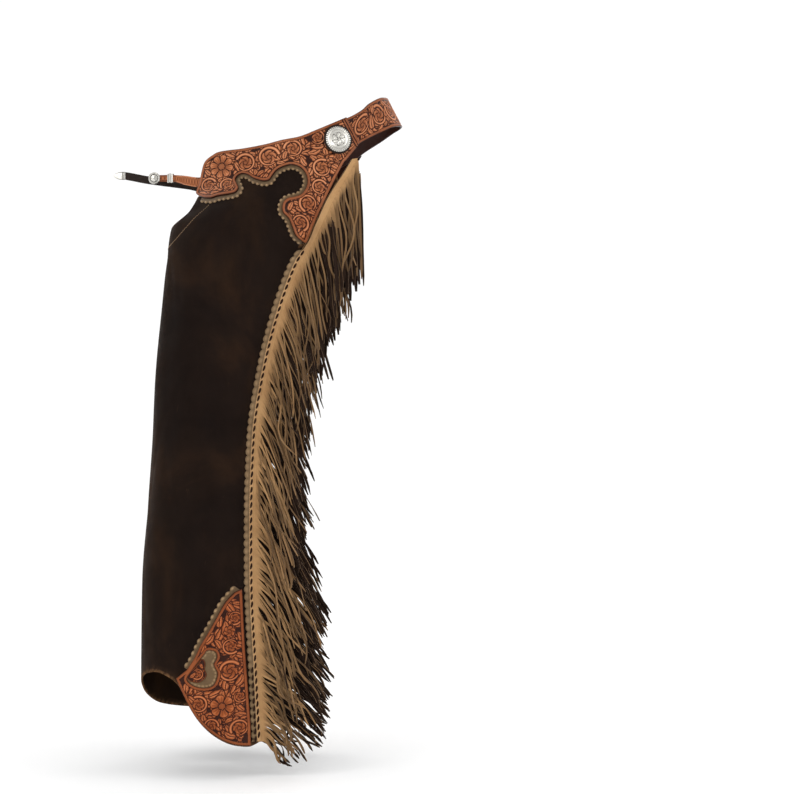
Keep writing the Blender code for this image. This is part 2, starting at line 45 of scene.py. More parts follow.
# Walls and gaps, in metres, as in the solids.
LEG_WALL = 0.0025
YOKE_WALL = 0.003
TRIM_WALL = 0.0015
BELT_WALL = 0.0035
SEAT_GAP = 0.0008
PANEL_GAP = 0.0009
PANEL_OUT = SEAT_GAP + TRIM_WALL + PANEL_GAP
CONCHO_RADIUS = 22.2 * MM
ROSETTE_RADIUS = 25.5 * MM
ROSETTE_WALL = 1.4 * MM
BUCKLE_RADIUS = 10.5 * MM
FLANGE_SPREADS = (27, 12)
SHARP_ANGLE = 50
COAT_ROUGHNESS = 0.14

# Rings of one leg, from the waist to below the hem, for the wearer's left side.
RING_COLUMNS = ("level", "rise", "x_front", "x_back", "y_out", "y_in")
RINGS = (
    (0.080, 0.370, -0.1950, 0.1620, -0.1365, 0.1365),
    (0.030, 0.370, -0.1970, 0.1630, -0.1365, 0.1365),
    (-0.010, 0.340, -0.2010, 0.1580, -0.1400, 0.1250),
    (-0.060, 0.250, -0.2075, 0.1200, -0.1620, 0.0600),
    (-0.110, 0.130, -0.2240, 0.0650, -0.1840, 0.0100),
    (-0.160, 0.050, -0.2290, 0.0190, -0.1960, -0.0060),
    (-0.260, 0.000, -0.2385, -0.0235, -0.2020, -0.0060),
    (-0.370, 0.000, -0.2493, -0.0535, -0.1960, -0.0120),
    (-0.490, 0.000, -0.2566, -0.0722, -0.1905, -0.0180),
    (-0.610, 0.000, -0.2643, -0.0758, -0.1910, -0.0190),
    (-0.740, 0.000, -0.2729, -0.0745, -0.1925, -0.0170),
    (-0.880, 0.000, -0.2746, -0.0665, -0.1965, -0.0130),
    (-1.030, 0.000, -0.2752, -0.0580, -0.1990, -0.0100),
)
TOP_EDGE_COLUMNS = ("angle", "level")
TOP_EDGE = (
    (-60, -0.165), (-50, -0.115), (-40, -0.070), (-30, -0.038), (-26, -0.033), (-20, -0.012),
    (-10, -0.002), (15, 0.003), (35, -0.002), (48, -0.018), (56, -0.021), (60.5, -0.025),
    (62, -0.048), (63.5, -0.071), (69, -0.094), (78, -0.106), (90, -0.116), (105, -0.130),
    (130, -0.142), (180, -0.147), (230, -0.150), (270, -0.158), (300, -0.165),
)
HEM_COLUMNS = ("angle", "level")
HEM = (
    (-60, -1.009), (-49, -1.012), (-36, -1.009), (-28, -1.005), (-20, -0.998), (-12, -0.988),
    (-5, -0.976), (2, -0.960), (8, -0.942), (19, -0.904), (30, -0.891), (43, -0.885),
    (60, -0.889), (75, -0.898), (90, -0.910), (108, -0.932), (133, -0.954), (153, -0.961),
    (180, -0.966), (215, -0.978), (245, -0.988), (270, -0.996), (300, -1.009),
)
# Soft folds: angle, level, half angle, half height, lean in degrees a metre, and depth.
FOLDS = (
    (52, -0.30, 15, 0.110, 60, -0.0032),
    (18, -0.42, 13, 0.120, -50, 0.0022),
    (74, -0.56, 14, 0.100, 90, -0.0030),
    (30, -0.66, 14, 0.130, 40, -0.0024),
    (125, -0.34, 18, 0.120, -70, -0.0038),
    (165, -0.55, 20, 0.130, 60, 0.0034),
    (205, -0.46, 18, 0.110, -80, -0.0044),
    (240, -0.58, 17, 0.090, 70, -0.0050),
    (150, -0.80, 18, 0.100, -50, -0.0034),
    (225, -0.80, 18, 0.110, 60, 0.0032),
)
# Finer creases that the solids leave out.
CREASES = (
    (44, -0.245, 5, 0.045, 150, -0.0010),
    (63, -0.210, 5, 0.040, 210, -0.0012),
    (82, -0.190, 6, 0.030, 260, -0.0014),
    (60, -0.520, 5, 0.060, -190, -0.0010),
    (36, -0.560, 5, 0.050, 160, -0.0009),
    (84, -0.640, 6, 0.055, 140, -0.0011),
    (12, -0.700, 5, 0.070, -120, -0.0008),
    (66, -0.780, 6, 0.060, 110, -0.0011),
    (250, -0.505, 6, 0.030, 500, -0.0022),
    (228, -0.545, 6, 0.030, -480, -0.0024),
    (206, -0.590, 6, 0.035, 420, -0.0020),
    (252, -0.640, 6, 0.035, -400, -0.0018),
    (120, -0.230, 6, 0.040, 240, -0.0018),
    (150, -0.260, 6, 0.045, -220, -0.0016),
    (190, -0.230, 6, 0.040, 200, -0.0018),
    (176, -0.860, 6, 0.060, 160, -0.0014),
    (132, -0.700, 6, 0.060, -180, -0.0014),
)

# Pattern outlines of the left side, x towards the back and z up, in millimetres.
YOKE_UPPER = (
    (-173, -77), (-179, -68), (-173, -50), (-169, -29), (-163, -13), (-149, -3), (-135, 2), (-97, 5),
    (-59, 11), (-31, 18), (-1, 24), (25, 35), (51, 47), (76, 59),
)
YOKE_BACK = ((97, 18), (96, 12), (77, -14), (69, -25), (41, -80), (21, -122), (7, -155))
YOKE_LOWER = (
    (3, -156), (-9, -146), (-15, -130), (-20, -118), (-28, -110), (-30, -101), (-27, -91), (-20, -85),
    (-9, -82), (2, -77), (10, -65), (12, -52), (8, -40), (-1, -31), (-14, -27), (-27, -30), (-38, -36),
    (-45, -45), (-51, -54), (-60, -56), (-69, -54), (-79, -50), (-88, -43), (-98, -40), (-106, -44),
    (-109, -51), (-106, -59), (-103, -67), (-107, -74), (-115, -77), (-138, -80), (-150, -83), (-162, -82),
)
CORNER_HEM = (
    (-205, -893), (-198, -909), (-189, -928), (-182, -942), (-171, -960), (-158, -975), (-144, -987),
    (-131, -996), (-117, -1003), (-104, -1007), (-86, -1010),
)
CORNER_BACK = ((-87, -972), (-90, -929), (-93, -887), (-96, -845), (-99, -790), (-101, -745))
CORNER_SLOPE = (
    (-112, -750), (-127, -767), (-143, -797), (-154, -817), (-166, -838), (-175, -858), (-187, -878),
)
CORNER_TRIM = ((-106, -743), *CORNER_SLOPE)
WINDOW = (
    (-154, -846), (-142, -848), (-139, -858), (-144, -870), (-138, -885), (-143, -902), (-154, -908),
    (-170, -907), (-183, -900), (-187, -892), (-180, -881), (-168, -864), (-159, -852),
)

BELT_COLUMNS = ("angle", "level", "half_width", "lean")
BELT = (
    (-26, -0.0060, 0.0275, 0.0), (-36, -0.0030, 0.0275, 0.0), (-42, 0.0012, 0.0273, 0.0),
    (-54, 0.0100, 0.0262, 0.30), (-70, 0.0155, 0.0252, 0.48), (-80, 0.0155, 0.0250, 0.52),
    (-90, 0.0150, 0.0250, 0.52),
)
STRIP_COLUMNS = ("level", "angle", "flange")
STRIP_EDGE = (
    (-0.047, -46.5, 0.006), (-0.075, -48.0, 0.009), (-0.100, -52.0, 0.012), (-0.132, -60.5, 0.015),
    (-0.160, -68.5, 0.016), (-0.176, -66.0, 0.016), (-0.190, -63.0, 0.016), (-0.220, -61.5, 0.016),
    (-0.260, -60.5, 0.016), (-1.006, -59.5, 0.016),
)
DROOP_COLUMNS = ("root_z", "back", "down")
DROOP = (
    (0.010, 0.008, 0.180), (-0.100, 0.028, 0.178), (-0.160, 0.042, 0.162), (-0.300, 0.050, 0.165),
    (-0.420, 0.066, 0.160), (-0.600, 0.098, 0.150), (-0.750, 0.116, 0.137), (-0.850, 0.114, 0.105),
    (-0.930, 0.100, 0.078), (-0.975, 0.088, 0.054), (-1.010, 0.060, 0.037),
)
# The front straps' middle lines: x, y, z and half width.
STRAP = (
    (-0.2050, -0.0400, -0.0415, 0.0080), (-0.2165, -0.0245, -0.0380, 0.0068),
    (-0.2268, -0.0156, -0.0358, 0.0060), (-0.2395, -0.0112, -0.0353, 0.0060),
    (-0.2570, -0.0100, -0.0353, 0.0058),
)
BILLET = (
    (-0.2050, 0.0330, -0.0440, 0.0072), (-0.2240, 0.0080, -0.0435, 0.0070),
    (-0.2390, -0.0040, -0.0425, 0.0070), (-0.2560, -0.0066, -0.0405, 0.0070),
    (-0.2800, -0.0068, -0.0370, 0.0070), (-0.3000, -0.0066, -0.0330, 0.0070),
    (-0.3135, -0.0064, -0.0305, 0.0068),
)
STRAP_ROOT_ANGLES = (49.0, 55.0, 61.0)
STRAP_ROOT_LEVEL = 0.0095
STRAP_ROOT_OUT = -0.0012
STRAP_ROOT_HALF = 0.0085
BUCKLE_PLACE = Vector((-0.2620, -0.0122, -0.0353))
CONCHO_PLACE = (0.061, 0.019)

# Camera and studio.
PIXEL = 0.0017
VIEW_DISTANCE = 4.0
CAMERA_PLACE = (0.1649, -4.15, -0.4199)
FLOOR_Z = -1.066
FLOOR_RINGS = ((5.2, 0.0), (6.2, 0.12), (6.9, 0.5), (7.3, 1.1), (7.5, 2.0), (7.55, 5.5))
PHOTO_WIDTH = 794
LAMP_AIM = Vector((-0.05, 0, -0.4))
# Lamps: name, place, size and power.
LAMPS = (
    ("Key", (-2.6, -3.4, 2.6), 1.8, 26), ("Side", (3.4, -1.6, 1.2), 1.6, 20),
    ("Back", (1.5, 3.4, 2.6), 2.0, 20), ("Low", (-1.2, -3.6, -0.2), 1.4, 6),
    ("Glint", (-1.0, -3.9, 0.9), 0.25, 7), ("Second glint", (1.4, -3.6, 0.7), 0.25, 5),
)


def smooth_table(rows, columns, name):
    """A smooth curve of the named column over the first one, for arrays, with no overshoot."""
    rows = sorted(rows)
    xs = np.array([row[0] for row in rows], float)
    ys = np.array([row[columns.index(name)] for row in rows], float)
    steps = np.diff(xs)
    slopes = np.diff(ys) / steps
    tangents = np.zeros(len(xs))
    tangents[0], tangents[-1] = slopes[0], slopes[-1]
    for i in range(1, len(xs) - 1):
        before, after = slopes[i - 1], slopes[i]
        if before * after > 0:
            weight_before = 2 * steps[i] + steps[i - 1]
            weight_after = steps[i] + 2 * steps[i - 1]
            tangents[i] = (weight_before + weight_after) / (weight_before / before + weight_after / after)

    def value(x):
        x = np.clip(np.asarray(x, float), xs[0], xs[-1])
        i = np.clip(np.searchsorted(xs, x, side="right") - 1, 0, len(xs) - 2)
        t = (x - xs[i]) / steps[i]
        start = ys[i] * (1 + 2 * t) * (1 - t) ** 2 + tangents[i] * steps[i] * t * (1 - t) ** 2
        return start + ys[i + 1] * t * t * (3 - 2 * t) + tangents[i + 1] * steps[i] * t * t * (t - 1)

    return value


def unit(vectors):
    """Vectors at length 1, alone or in rows."""
    return vectors / np.linalg.norm(vectors, axis=-1, keepdims=True)


def lengths_along(line):
    """How far along a line each of its points lies."""
    return np.concatenate([[0], np.cumsum(np.linalg.norm(np.diff(line, axis=0), axis=1))])


def left_of(line):
    """The way to the left of a flat line, at each of its points."""
    heading = np.gradient(line, axis=0)
    return unit(np.stack([-heading[:, 1], heading[:, 0]], -1))


def turn_steps(count):
    """The angles of a full turn in even steps."""
    return np.arange(count) * math.tau / count


def hump(x, middle, half_width, power=2):
    """A smooth hump of height 1 over a middle."""
    return np.exp(-(((x - middle) / half_width) ** power))


def tube_faces(rows, sides, start=0, flip=False, caps=True):
    """The faces between the rows of points of a tube, and its two ends."""
    faces = []
    for row in range(rows - 1):
        for side in range(sides):
            a, b = start + row * sides + side, start + row * sides + (side + 1) % sides
            faces.append((a, a + sides, b + sides, b) if flip else (a, b, b + sides, a + sides))
    if caps:
        first = tuple(range(start, start + sides))
        last = tuple(i + (rows - 1) * sides for i in first)
        faces += [first, last[::-1]] if flip else [first[::-1], last]
    return faces


RING_CURVES = [smooth_table(RINGS, RING_COLUMNS, name) for name in RING_COLUMNS[1:]]
TOP_CURVE = smooth_table(TOP_EDGE, TOP_EDGE_COLUMNS, "level")
HEM_CURVE = smooth_table(HEM, HEM_COLUMNS, "level")
STRIP_CURVE = smooth_table(STRIP_EDGE, STRIP_COLUMNS, "angle")
FLANGE_CURVE = smooth_table(STRIP_EDGE, STRIP_COLUMNS, "flange")
BACK_CURVE = smooth_table(DROOP, DROOP_COLUMNS, "back")
DOWN_CURVE = smooth_table(DROOP, DROOP_COLUMNS, "down")
BELT_LEVEL = smooth_table(BELT, BELT_COLUMNS, "level")
BELT_HALF_WIDTH = smooth_table(BELT, BELT_COLUMNS, "half_width")
BELT_LEAN = smooth_table(BELT, BELT_COLUMNS, "lean")


def ring(level):
    """The leg's ring at a level: its slant, then its middle and half size in x and in y."""
    rise, x_front, x_back, y_out, y_in = [curve(level) for curve in RING_CURVES]
    return rise, (x_front + x_back) / 2, (x_back - x_front) / 2, (y_out + y_in) / 2, (y_in - y_out) / 2


def fold_depth(angle, level, folds):
    """How far the folds move the leg's face out at an angle and level."""
    depth = np.zeros(np.broadcast(angle, level).shape)
    for fold_angle, fold_level, half_angle, half_height, lean, height in folds:
        down = level - fold_level
        turn = (angle - fold_angle - lean * down + 180) % 360 - 180
        depth = depth + height * np.exp(-((turn / half_angle) ** 2) - (down / half_height) ** 2)
    return depth


def leg_points(angle, level, out=0.0, folds=FOLDS):
    """Points on the left leg's outer face, moved out by a distance. Arrays in, rows of x, y and z out."""
    angle, level = np.broadcast_arrays(np.asarray(angle, float), np.asarray(level, float))
    rise, x_middle, depth, y_middle, width = ring(level)
    turn = np.radians(angle)
    away = unit(np.stack([-np.sin(turn) / depth, -np.cos(turn) / width, np.zeros_like(turn)], -1))
    x = x_middle - depth * np.sin(turn)
    y = y_middle - width * np.cos(turn)
    z = level + rise * (x - x_middle)
    far = fold_depth(angle, level, folds) + out
    return np.stack([x, y, z], -1) + away * far[..., None]


def side_place(x, z):
    """Angle and level of the leg's outer side at x and z."""
    level = np.array(z, float)
    for _ in range(24):
        rise, x_middle = ring(level)[:2]
        level = 0.5 * level + 0.5 * (z - rise * (x - x_middle))
    x_middle, depth = ring(level)[1:3]
    return np.degrees(np.arcsin(np.clip((x_middle - x) / depth, -0.999, 0.999))), level


def side_points(flat, out=0.0):
    """Points over pattern points (rows of x and z in metres), moved out square to the leg."""
    step = 0.001

    def on_side(x, z):
        angle, level = side_place(x, z)
        return leg_points(angle, level)

    x, z = flat[:, 0], flat[:, 1]
    across = on_side(x + step, z) - on_side(x - step, z)
    along = on_side(x, z + step) - on_side(x, z - step)
    normal = unit(np.cross(across, along))
    return on_side(x, z) + normal * np.asarray(out, float).reshape(-1, 1)


def curve_through(points, step, closed=False):
    """Rows of x and z in metres along a smooth curve through pattern points in millimetres."""
    knots = np.array(points, float) * MM
    if closed:
        knots = np.vstack([knots[-1], knots, knots[0], knots[1]])
    else:
        knots = np.vstack([2 * knots[0] - knots[1], knots, 2 * knots[-1] - knots[-2]])
    line = []
    for a, b, c, d in zip(knots, knots[1:], knots[2:], knots[3:]):
        count = max(1, round(float(np.linalg.norm(c - b)) / step))
        for i in range(count):
            t = i / count
            bend = 2 * a - 5 * b + 4 * c - d
            twist = 3 * b - a - 3 * c + d
            line.append(b + (c - a) * t / 2 + bend * t**2 / 2 + twist * t**3 / 2)
    if not closed:
        line.append(knots[-2])
    return np.array(line)


def even_steps(line, step, closed=False):
    """The line again, with points an even step apart, and how far along each one lies."""
    if closed:
        line = np.vstack([line, line[:1]])
    lengths = lengths_along(line)
    count = max(2, round(lengths[-1] / step))
    along = np.linspace(0, lengths[-1], count + 1)
    made = np.stack([np.interp(along, lengths, line[:, k]) for k in range(line.shape[1])], -1)
    return (made[:-1], along[:-1]) if closed else (made, along)


def signed_area(outline):
    x, z = outline[:, 0], outline[:, 1]
    return 0.5 * float(np.sum(x * np.roll(z, -1) - np.roll(x, -1) * z))


def inside(points, outline):
    """Which points lie inside a closed outline."""
    found = np.zeros(len(points), bool)
    for a, b in zip(outline, np.roll(outline, -1, axis=0)):
        crosses = (a[1] > points[:, 1]) != (b[1] > points[:, 1])
        at = a[0] + (points[:, 1] - a[1]) * (b[0] - a[0]) / (b[1] - a[1] + 1e-15)
        found ^= crosses & (points[:, 0] < at)
    return found


def distance_to(points, line, closed=True):
    """Distance of each point to a line of points."""
    ends = np.roll(line, -1, axis=0) if closed else line[1:]
    starts = line if closed else line[:-1]
    nearest = np.full(len(points), np.inf)
    for a, b in zip(starts, ends):
        run = b - a
        share = np.clip(((points - a) @ run) / (run @ run + 1e-18), 0, 1)
        nearest = np.minimum(nearest, np.linalg.norm(points - a - share[:, None] * run, axis=1))
    return nearest


def shifted(line, distance, step):
    """An open line moved to its left, without the loops that tight bends would make."""
    moved = line + left_of(line) * distance
    far = distance_to(moved, line, closed=False)
    kept = moved[far > abs(distance) * 0.96]
    return even_steps(kept, step)[0]


def filled(outline, windows, spacing):
    """Pattern points and triangles that fill an outline. The border's points come first."""
    borders = [outline, *windows]
    edges, first = [], 0
    for border in borders:
        edges += [(first + i, first + (i + 1) % len(border)) for i in range(len(border))]
        first += len(border)
    low, high = outline.min(axis=0), outline.max(axis=0)
    rows = np.arange(low[1], high[1], spacing * 0.866)
    columns = np.arange(low[0], high[0], spacing)
    grid = np.array([(x + spacing / 2 * (i % 2), z) for i, z in enumerate(rows) for x in columns])
    grid = grid[inside(grid, outline)]
    for window in windows:
        grid = grid[~inside(grid, window)]
    for border in borders:
        grid = grid[distance_to(grid, border) > spacing * 0.5]
    points = np.vstack([*borders, grid])
    made = geometry.delaunay_2d_cdt([Vector(p) for p in points.tolist()], edges, [], 1, 1e-7)
    flat = np.array([tuple(p) for p in made[0]])
    faces = np.array(made[2])
    middles = flat[faces].mean(axis=1)
    for window in windows:
        closed = ~inside(middles, window)
        faces, middles = faces[closed], middles[closed]
    return flat, [tuple(face) for face in faces.tolist()]


def new_mesh(name, vertices, faces, material):
    """A smooth mesh in the scene, with one material or a list of them."""
    mesh = bpy.data.meshes.new(name)
    mesh.from_pydata(np.asarray(vertices, float).tolist(), [], [tuple(map(int, face)) for face in faces])
    mesh.validate()
    mesh.shade_smooth()
    mesh.set_sharp_from_angle(angle=math.radians(SHARP_ANGLE))
    for look in material if isinstance(material, (list, tuple)) else [material]:
        mesh.materials.append(look)
    piece = bpy.data.objects.new(name, mesh)
    bpy.context.scene.collection.objects.link(piece)
    return piece


def paint(piece, name, values):
    """A colour attribute with one value a vertex, read by the materials."""
    values = np.asarray(values, float)
    if values.ndim == 1:
        values = np.stack([values, values, values, np.ones_like(values)], -1)
    layer = piece.data.color_attributes.new(name, "FLOAT_COLOR", "POINT")
    layer.data.foreach_set("color", values.astype(np.float32).ravel())


def register(piece, nodes=()):
    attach(piece, "root")
    if nodes:
        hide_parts(*nodes)
    return piece


def both_sides(piece, part=""):
    """Registers a left piece and its mirrored twin, which stand for the left and right solid of a part."""
    twin = piece.copy()
    twin.data = piece.data.copy()
    twin.name = twin.data.name = piece.name.replace("left_", "right_")
    twin.data.transform(Matrix.Scale(-1, 4, (0, 1, 0)))
    twin.data.flip_normals()
    bpy.context.scene.collection.objects.link(twin)
    register(twin, [f"right_{part}"] if part else ())
    return register(piece, [f"left_{part}"] if part else ()), twin


# Materials.
def srgb(red, green, blue):
    """A linear colour from a screen colour of 0 to 255."""
    def linear(value):
        value /= 255
        return value / 12.92 if value <= 0.04045 else ((value + 0.055) / 1.055) ** 2.4

    return (linear(red), linear(green), linear(blue), 1.0)


def fill(node, **values):
    """Sets a node's inputs, named with an underline for each space."""
    for name, value in values.items():
        node.inputs[name.replace("_", " ")].default_value = value


class Look:
    """A Principled material, with short ways to add the nodes that these leathers share."""

    def __init__(self, name, roughness, metallic=0.0, specular=0.5, sheen=0.0, coat=0.0):
        self.material = bpy.data.materials.new(name)
        self.material.use_nodes = True
        self.tree = self.material.node_tree
        self.shader = self.tree.nodes["Principled BSDF"]
        fill(self.shader, Roughness=roughness, Metallic=metallic, Specular_IOR_Level=specular)
        fill(self.shader, Sheen_Weight=sheen, Coat_Weight=coat, Coat_Roughness=COAT_ROUGHNESS)
        self.place = self.node("ShaderNodeTexCoord").outputs["Object"]

    def node(self, kind, **settings):
        made = self.tree.nodes.new(kind)
        for name, value in settings.items():
            setattr(made, name, value)
        return made

    def link(self, source, target):
        self.tree.links.new(source, target)

    def noise(self, scale, detail=4.0, rough=0.55, stretch=None, distortion=0.0):
        texture = self.node("ShaderNodeTexNoise")
        fill(texture, Scale=scale, Detail=detail, Roughness=rough, Distortion=distortion)
        source = self.place
        if stretch:
            mapping = self.node("ShaderNodeMapping")
            fill(mapping, Scale=stretch)
            self.link(source, mapping.inputs["Vector"])
            source = mapping.outputs["Vector"]
        self.link(source, texture.inputs["Vector"])
        return texture.outputs["Fac"]

    def cells(self, scale):
        texture = self.node("ShaderNodeTexVoronoi")
        fill(texture, Scale=scale)
        self.link(self.place, texture.inputs["Vector"])
        return texture.outputs["Distance"]

    def attribute(self, name):
        return self.node("ShaderNodeAttribute", attribute_name=name).outputs["Color"]

    def channel(self, colour, channel):
        split = self.node("ShaderNodeSeparateColor")
        self.link(colour, split.inputs["Color"])
        return split.outputs[channel]

    def ramp(self, source, stops):
        ramp = self.node("ShaderNodeValToRGB")
        elements = ramp.color_ramp.elements
        while len(elements) < len(stops):
            elements.new(0.5)
        for element, (position, colour) in zip(elements, stops):
            element.position = position
            element.color = colour
        self.link(source, ramp.inputs["Fac"])
        return ramp.outputs["Color"]

    def span(self, source, low, high, start, end):
        span = self.node("ShaderNodeMapRange")
        fill(span, From_Min=low, From_Max=high, To_Min=start, To_Max=end)
        self.link(source, span.inputs["Value"])
        return span.outputs["Result"]

    def mix(self, share, first, second, blend="MIX"):
        mixer = self.node("ShaderNodeMix", data_type="RGBA", blend_type=blend)
        for index, value in ((0, share), (6, first), (7, second)):
            if isinstance(value, (int, float, tuple)):
                mixer.inputs[index].default_value = value
            else:
                self.link(value, mixer.inputs[index])
        return mixer.outputs[2]

    def colour(self, source):
        self.link(source, self.shader.inputs["Base Color"])

    def roughness(self, source):
        self.link(source, self.shader.inputs["Roughness"])

    def bumps(self, *layers):
        """Each layer is a height source, its strength and its distance in metres."""
        normal = None
        for source, strength, distance in layers:
            bump = self.node("ShaderNodeBump")
            fill(bump, Strength=strength, Distance=distance)
            self.link(source, bump.inputs["Height"])
            if normal:
                self.link(normal, bump.inputs["Normal"])
            normal = bump.outputs["Normal"]
        self.link(normal, self.shader.inputs["Normal"])


def chap_leather():
    """Dark oiled leather, mottled brown, with lighter reddish edges that are partly worn leather and partly
    painted highlight, and a fine grain.
    """
    look = Look("chap_leather", 0.66, specular=0.04)
    cloud = look.noise(6.0, 5.0, 0.6, distortion=0.5)
    base = look.ramp(cloud, [(0.32, srgb(19, 12, 9)), (0.52, srgb(26, 17, 12)), (0.70, srgb(40, 26, 16))])
    streak = look.noise(3.0, 6.0, 0.65, stretch=(2.4, 2.4, 0.6))
    base = look.mix(look.span(streak, 0.50, 0.74, 0.0, 0.5), base, srgb(52, 34, 18))
    # Mask: lighter where the leather is partly worn and partly painted highlight, at the hem, the top edge and
    # in a band along the front.
    worn_and_highlighted_mask = look.channel(look.attribute("worn_and_highlighted"), "Red")
    blotches = look.span(look.noise(160.0, 6.0), 0.36, 0.68, 0.0, 1.0)
    worn_and_highlighted_colour = look.mix(blotches, srgb(42, 28, 18), srgb(132, 96, 64))
    base = look.mix(worn_and_highlighted_mask, base, worn_and_highlighted_colour)
    scuff = look.noise(140.0, 6.0, 0.7, stretch=(1.0, 1.0, 0.25))
    base = look.mix(look.span(scuff, 0.64, 0.80, 0.0, 0.25), base, srgb(76, 55, 38))
    look.colour(base)
    look.roughness(look.span(look.noise(24.0, 5.0), 0.3, 0.7, 0.56, 0.76))
    look.bumps((look.noise(38.0, 4.0), 0.35, 0.0009), (look.cells(620.0), 0.28, 0.0003))
    return look.material


def tooled_leather(name, *colours):
    """Carved leather: dark in its cuts and background, partly antique stain and partly painted shade, lighter
    up to its ridges with a painted highlight, and a plain border.
    """
    low, middle, high, border, ridge = [srgb(*colour) for colour in colours]
    look = Look(name, 0.42, specular=0.07, coat=0.12)
    tooling = look.attribute("tooling")
    height = look.channel(tooling, "Red")
    # Painted shade in the low cuts and background, partly real antique stain too; lighter up the raised parts,
    # and a painted highlight on the ridges.
    carved = look.ramp(height, [(0.08, low), (0.42, middle), (0.80, high), (0.96, ridge)])
    plain = look.mix(look.noise(26.0, 4.0), middle, border)
    base = look.mix(look.channel(tooling, "Green"), carved, plain)
    clouds = look.span(look.noise(14.0, 5.0), 0.35, 0.7, 0.0, 0.7)
    base = look.mix(clouds, base, srgb(214, 190, 168), "MULTIPLY")
    base = look.mix(look.channel(tooling, "Blue"), base, low)
    look.colour(base)
    look.roughness(look.span(look.noise(90.0, 4.0), 0.3, 0.7, 0.30, 0.50))
    look.bumps((look.noise(420.0, 3.0), 0.22, 0.0004), (look.cells(900.0), 0.2, 0.0002))
    return look.material


def suede(name, low, high, sheen=0.15):
    """Napped leather, darker where its tone is low; the low tone is painted shade off the trims' beads and in
    the upper fringe, and the strands' own tone elsewhere.
    """
    low, high = srgb(*low), srgb(*high)
    look = Look(name, 0.9, specular=0.15, sheen=sheen)
    patch = look.mix(look.noise(30.0, 5.0, 0.6), low, high)
    nap = look.noise(650.0, 3.0, 0.7)
    base = look.mix(look.span(nap, 0.3, 0.7, 0.0, 0.35), patch, low)
    tone = look.channel(look.attribute("tone"), "Red")
    base = look.mix(look.span(tone, 0.0, 1.0, 0.92, 0.0), base, srgb(36, 21, 11))
    look.colour(base)
    look.bumps((nap, 0.3, 0.0004), (look.noise(90.0, 4.0), 0.3, 0.0006))
    return look.material


def strap_leather():
    """Dark brown strap leather, with a low gloss."""
    look = Look("strap_dark", 0.42, specular=0.14)
    look.colour(look.mix(look.noise(40.0, 5.0), srgb(20, 12, 8), srgb(40, 26, 17)))
    look.bumps((look.noise(300.0, 4.0), 0.3, 0.0004), (look.cells(800.0), 0.2, 0.0002))
    return look.material


def silver():
    """Bright nickel silver with dark in its engraving."""
    look = Look("silver", 0.2, metallic=1.0)
    cut = look.channel(look.attribute("tooling"), "Red")
    tarnish = look.mix(look.noise(120.0, 4.0), srgb(222, 220, 214), srgb(176, 172, 163))
    look.colour(look.mix(cut, tarnish, srgb(34, 31, 28)))
    look.roughness(look.span(look.noise(260.0, 5.0), 0.3, 0.7, 0.14, 0.3))
    look.bumps((look.noise(700.0, 3.0), 0.12, 0.0002))
    return look.material


CHAP_LEATHER = chap_leather()
# Each tooled leather's colours: low cuts (partly painted shade), middle, raised parts, border, and a painted
# highlight for the ridges.
RUSSET = tooled_leather(
    "tooled_leather", (42, 17, 8), (104, 54, 29), (176, 108, 68), (176, 108, 70), (218, 154, 114)
)
ORANGE = tooled_leather(
    "corner_leather", (44, 17, 7), (104, 49, 22), (160, 86, 44), (164, 92, 50), (206, 132, 88)
)
TRIM_SUEDE = suede("trim_suede", (124, 98, 68), (190, 158, 118))
FRINGE_SUEDE = suede("fringe_suede", (156, 114, 72), (216, 174, 122))
THREAD = suede("thread", (118, 94, 68), (166, 138, 104))
LACE = suede("lace", (26, 13, 7), (48, 27, 15), sheen=0.0)
DARK_FRINGE = suede("dark_fringe", (14, 9, 6), (38, 25, 17), sheen=0.03)
STRAP_DARK = strap_leather()
SILVER = silver()
FRINGE_LOOKS = [FRINGE_SUEDE, DARK_FRINGE]


# The legs.
LEG_ANGLES = np.concatenate([np.arange(-60, 54, 2.0), np.arange(54, 72, 0.45), np.arange(72, 299.9, 2.0)])
LEG_ROW_COUNT = 130
STITCH_LINE = (
    (42.0, -0.066), (43.4, -0.080), (49.1, -0.115), (67.6, -0.150), (85.0, -0.160), (110.0, -0.166),
    (200.0, -0.186),
)
WORN_AND_HIGHLIGHTED_REACH = 3.0 * MM
STITCH_CURVE = smooth_table(STITCH_LINE, ("angle", "level"), "level")
STITCH_PITCH = 4.0 * MM
STITCH_RADIUS = 0.75 * MM
STITCH_SHAPE = ((0.12, 0.3), (0.25, 0.9), (0.5, 1.0), (0.75, 0.9), (0.88, 0.3))
STITCH_SIDES = 6


def leg():
    """One leg's leather, a tube that is cut away at the crotch and open at the hem."""
    shares = np.linspace(0, 1, LEG_ROW_COUNT + 1)[:, None]
    top, hem = TOP_CURVE(LEG_ANGLES), HEM_CURVE(LEG_ANGLES)
    levels = top + (hem - top) * shares
    angles = np.broadcast_to(LEG_ANGLES, levels.shape)
    points = leg_points(angles, levels, folds=FOLDS + CREASES)
    faces = tube_faces(LEG_ROW_COUNT + 1, len(LEG_ANGLES), caps=False)
    piece = new_mesh("left_leg_leather", points.reshape(-1, 3), faces, CHAP_LEATHER)
    # Lighter near the hem and the top edge, partly worn leather and partly painted highlight, and a faint
    # painted highlight in a band along the front, where the side rounds away.
    hem_worn_and_highlighted = np.exp(-(levels - hem) / WORN_AND_HIGHLIGHTED_REACH)
    top_worn_and_highlighted = np.exp(-(top - levels) / WORN_AND_HIGHLIGHTED_REACH)
    worn_and_highlighted = np.clip(hem_worn_and_highlighted + top_worn_and_highlighted * 0.8 + hump(angles, 84, 20) * 0.10, 0, 1)
    paint(piece, "worn_and_highlighted", worn_and_highlighted.ravel())
    wall = piece.modifiers.new("Wall", "SOLIDIFY")
    wall.thickness = LEG_WALL
    wall.offset = -1
    return both_sides(piece, "leg")


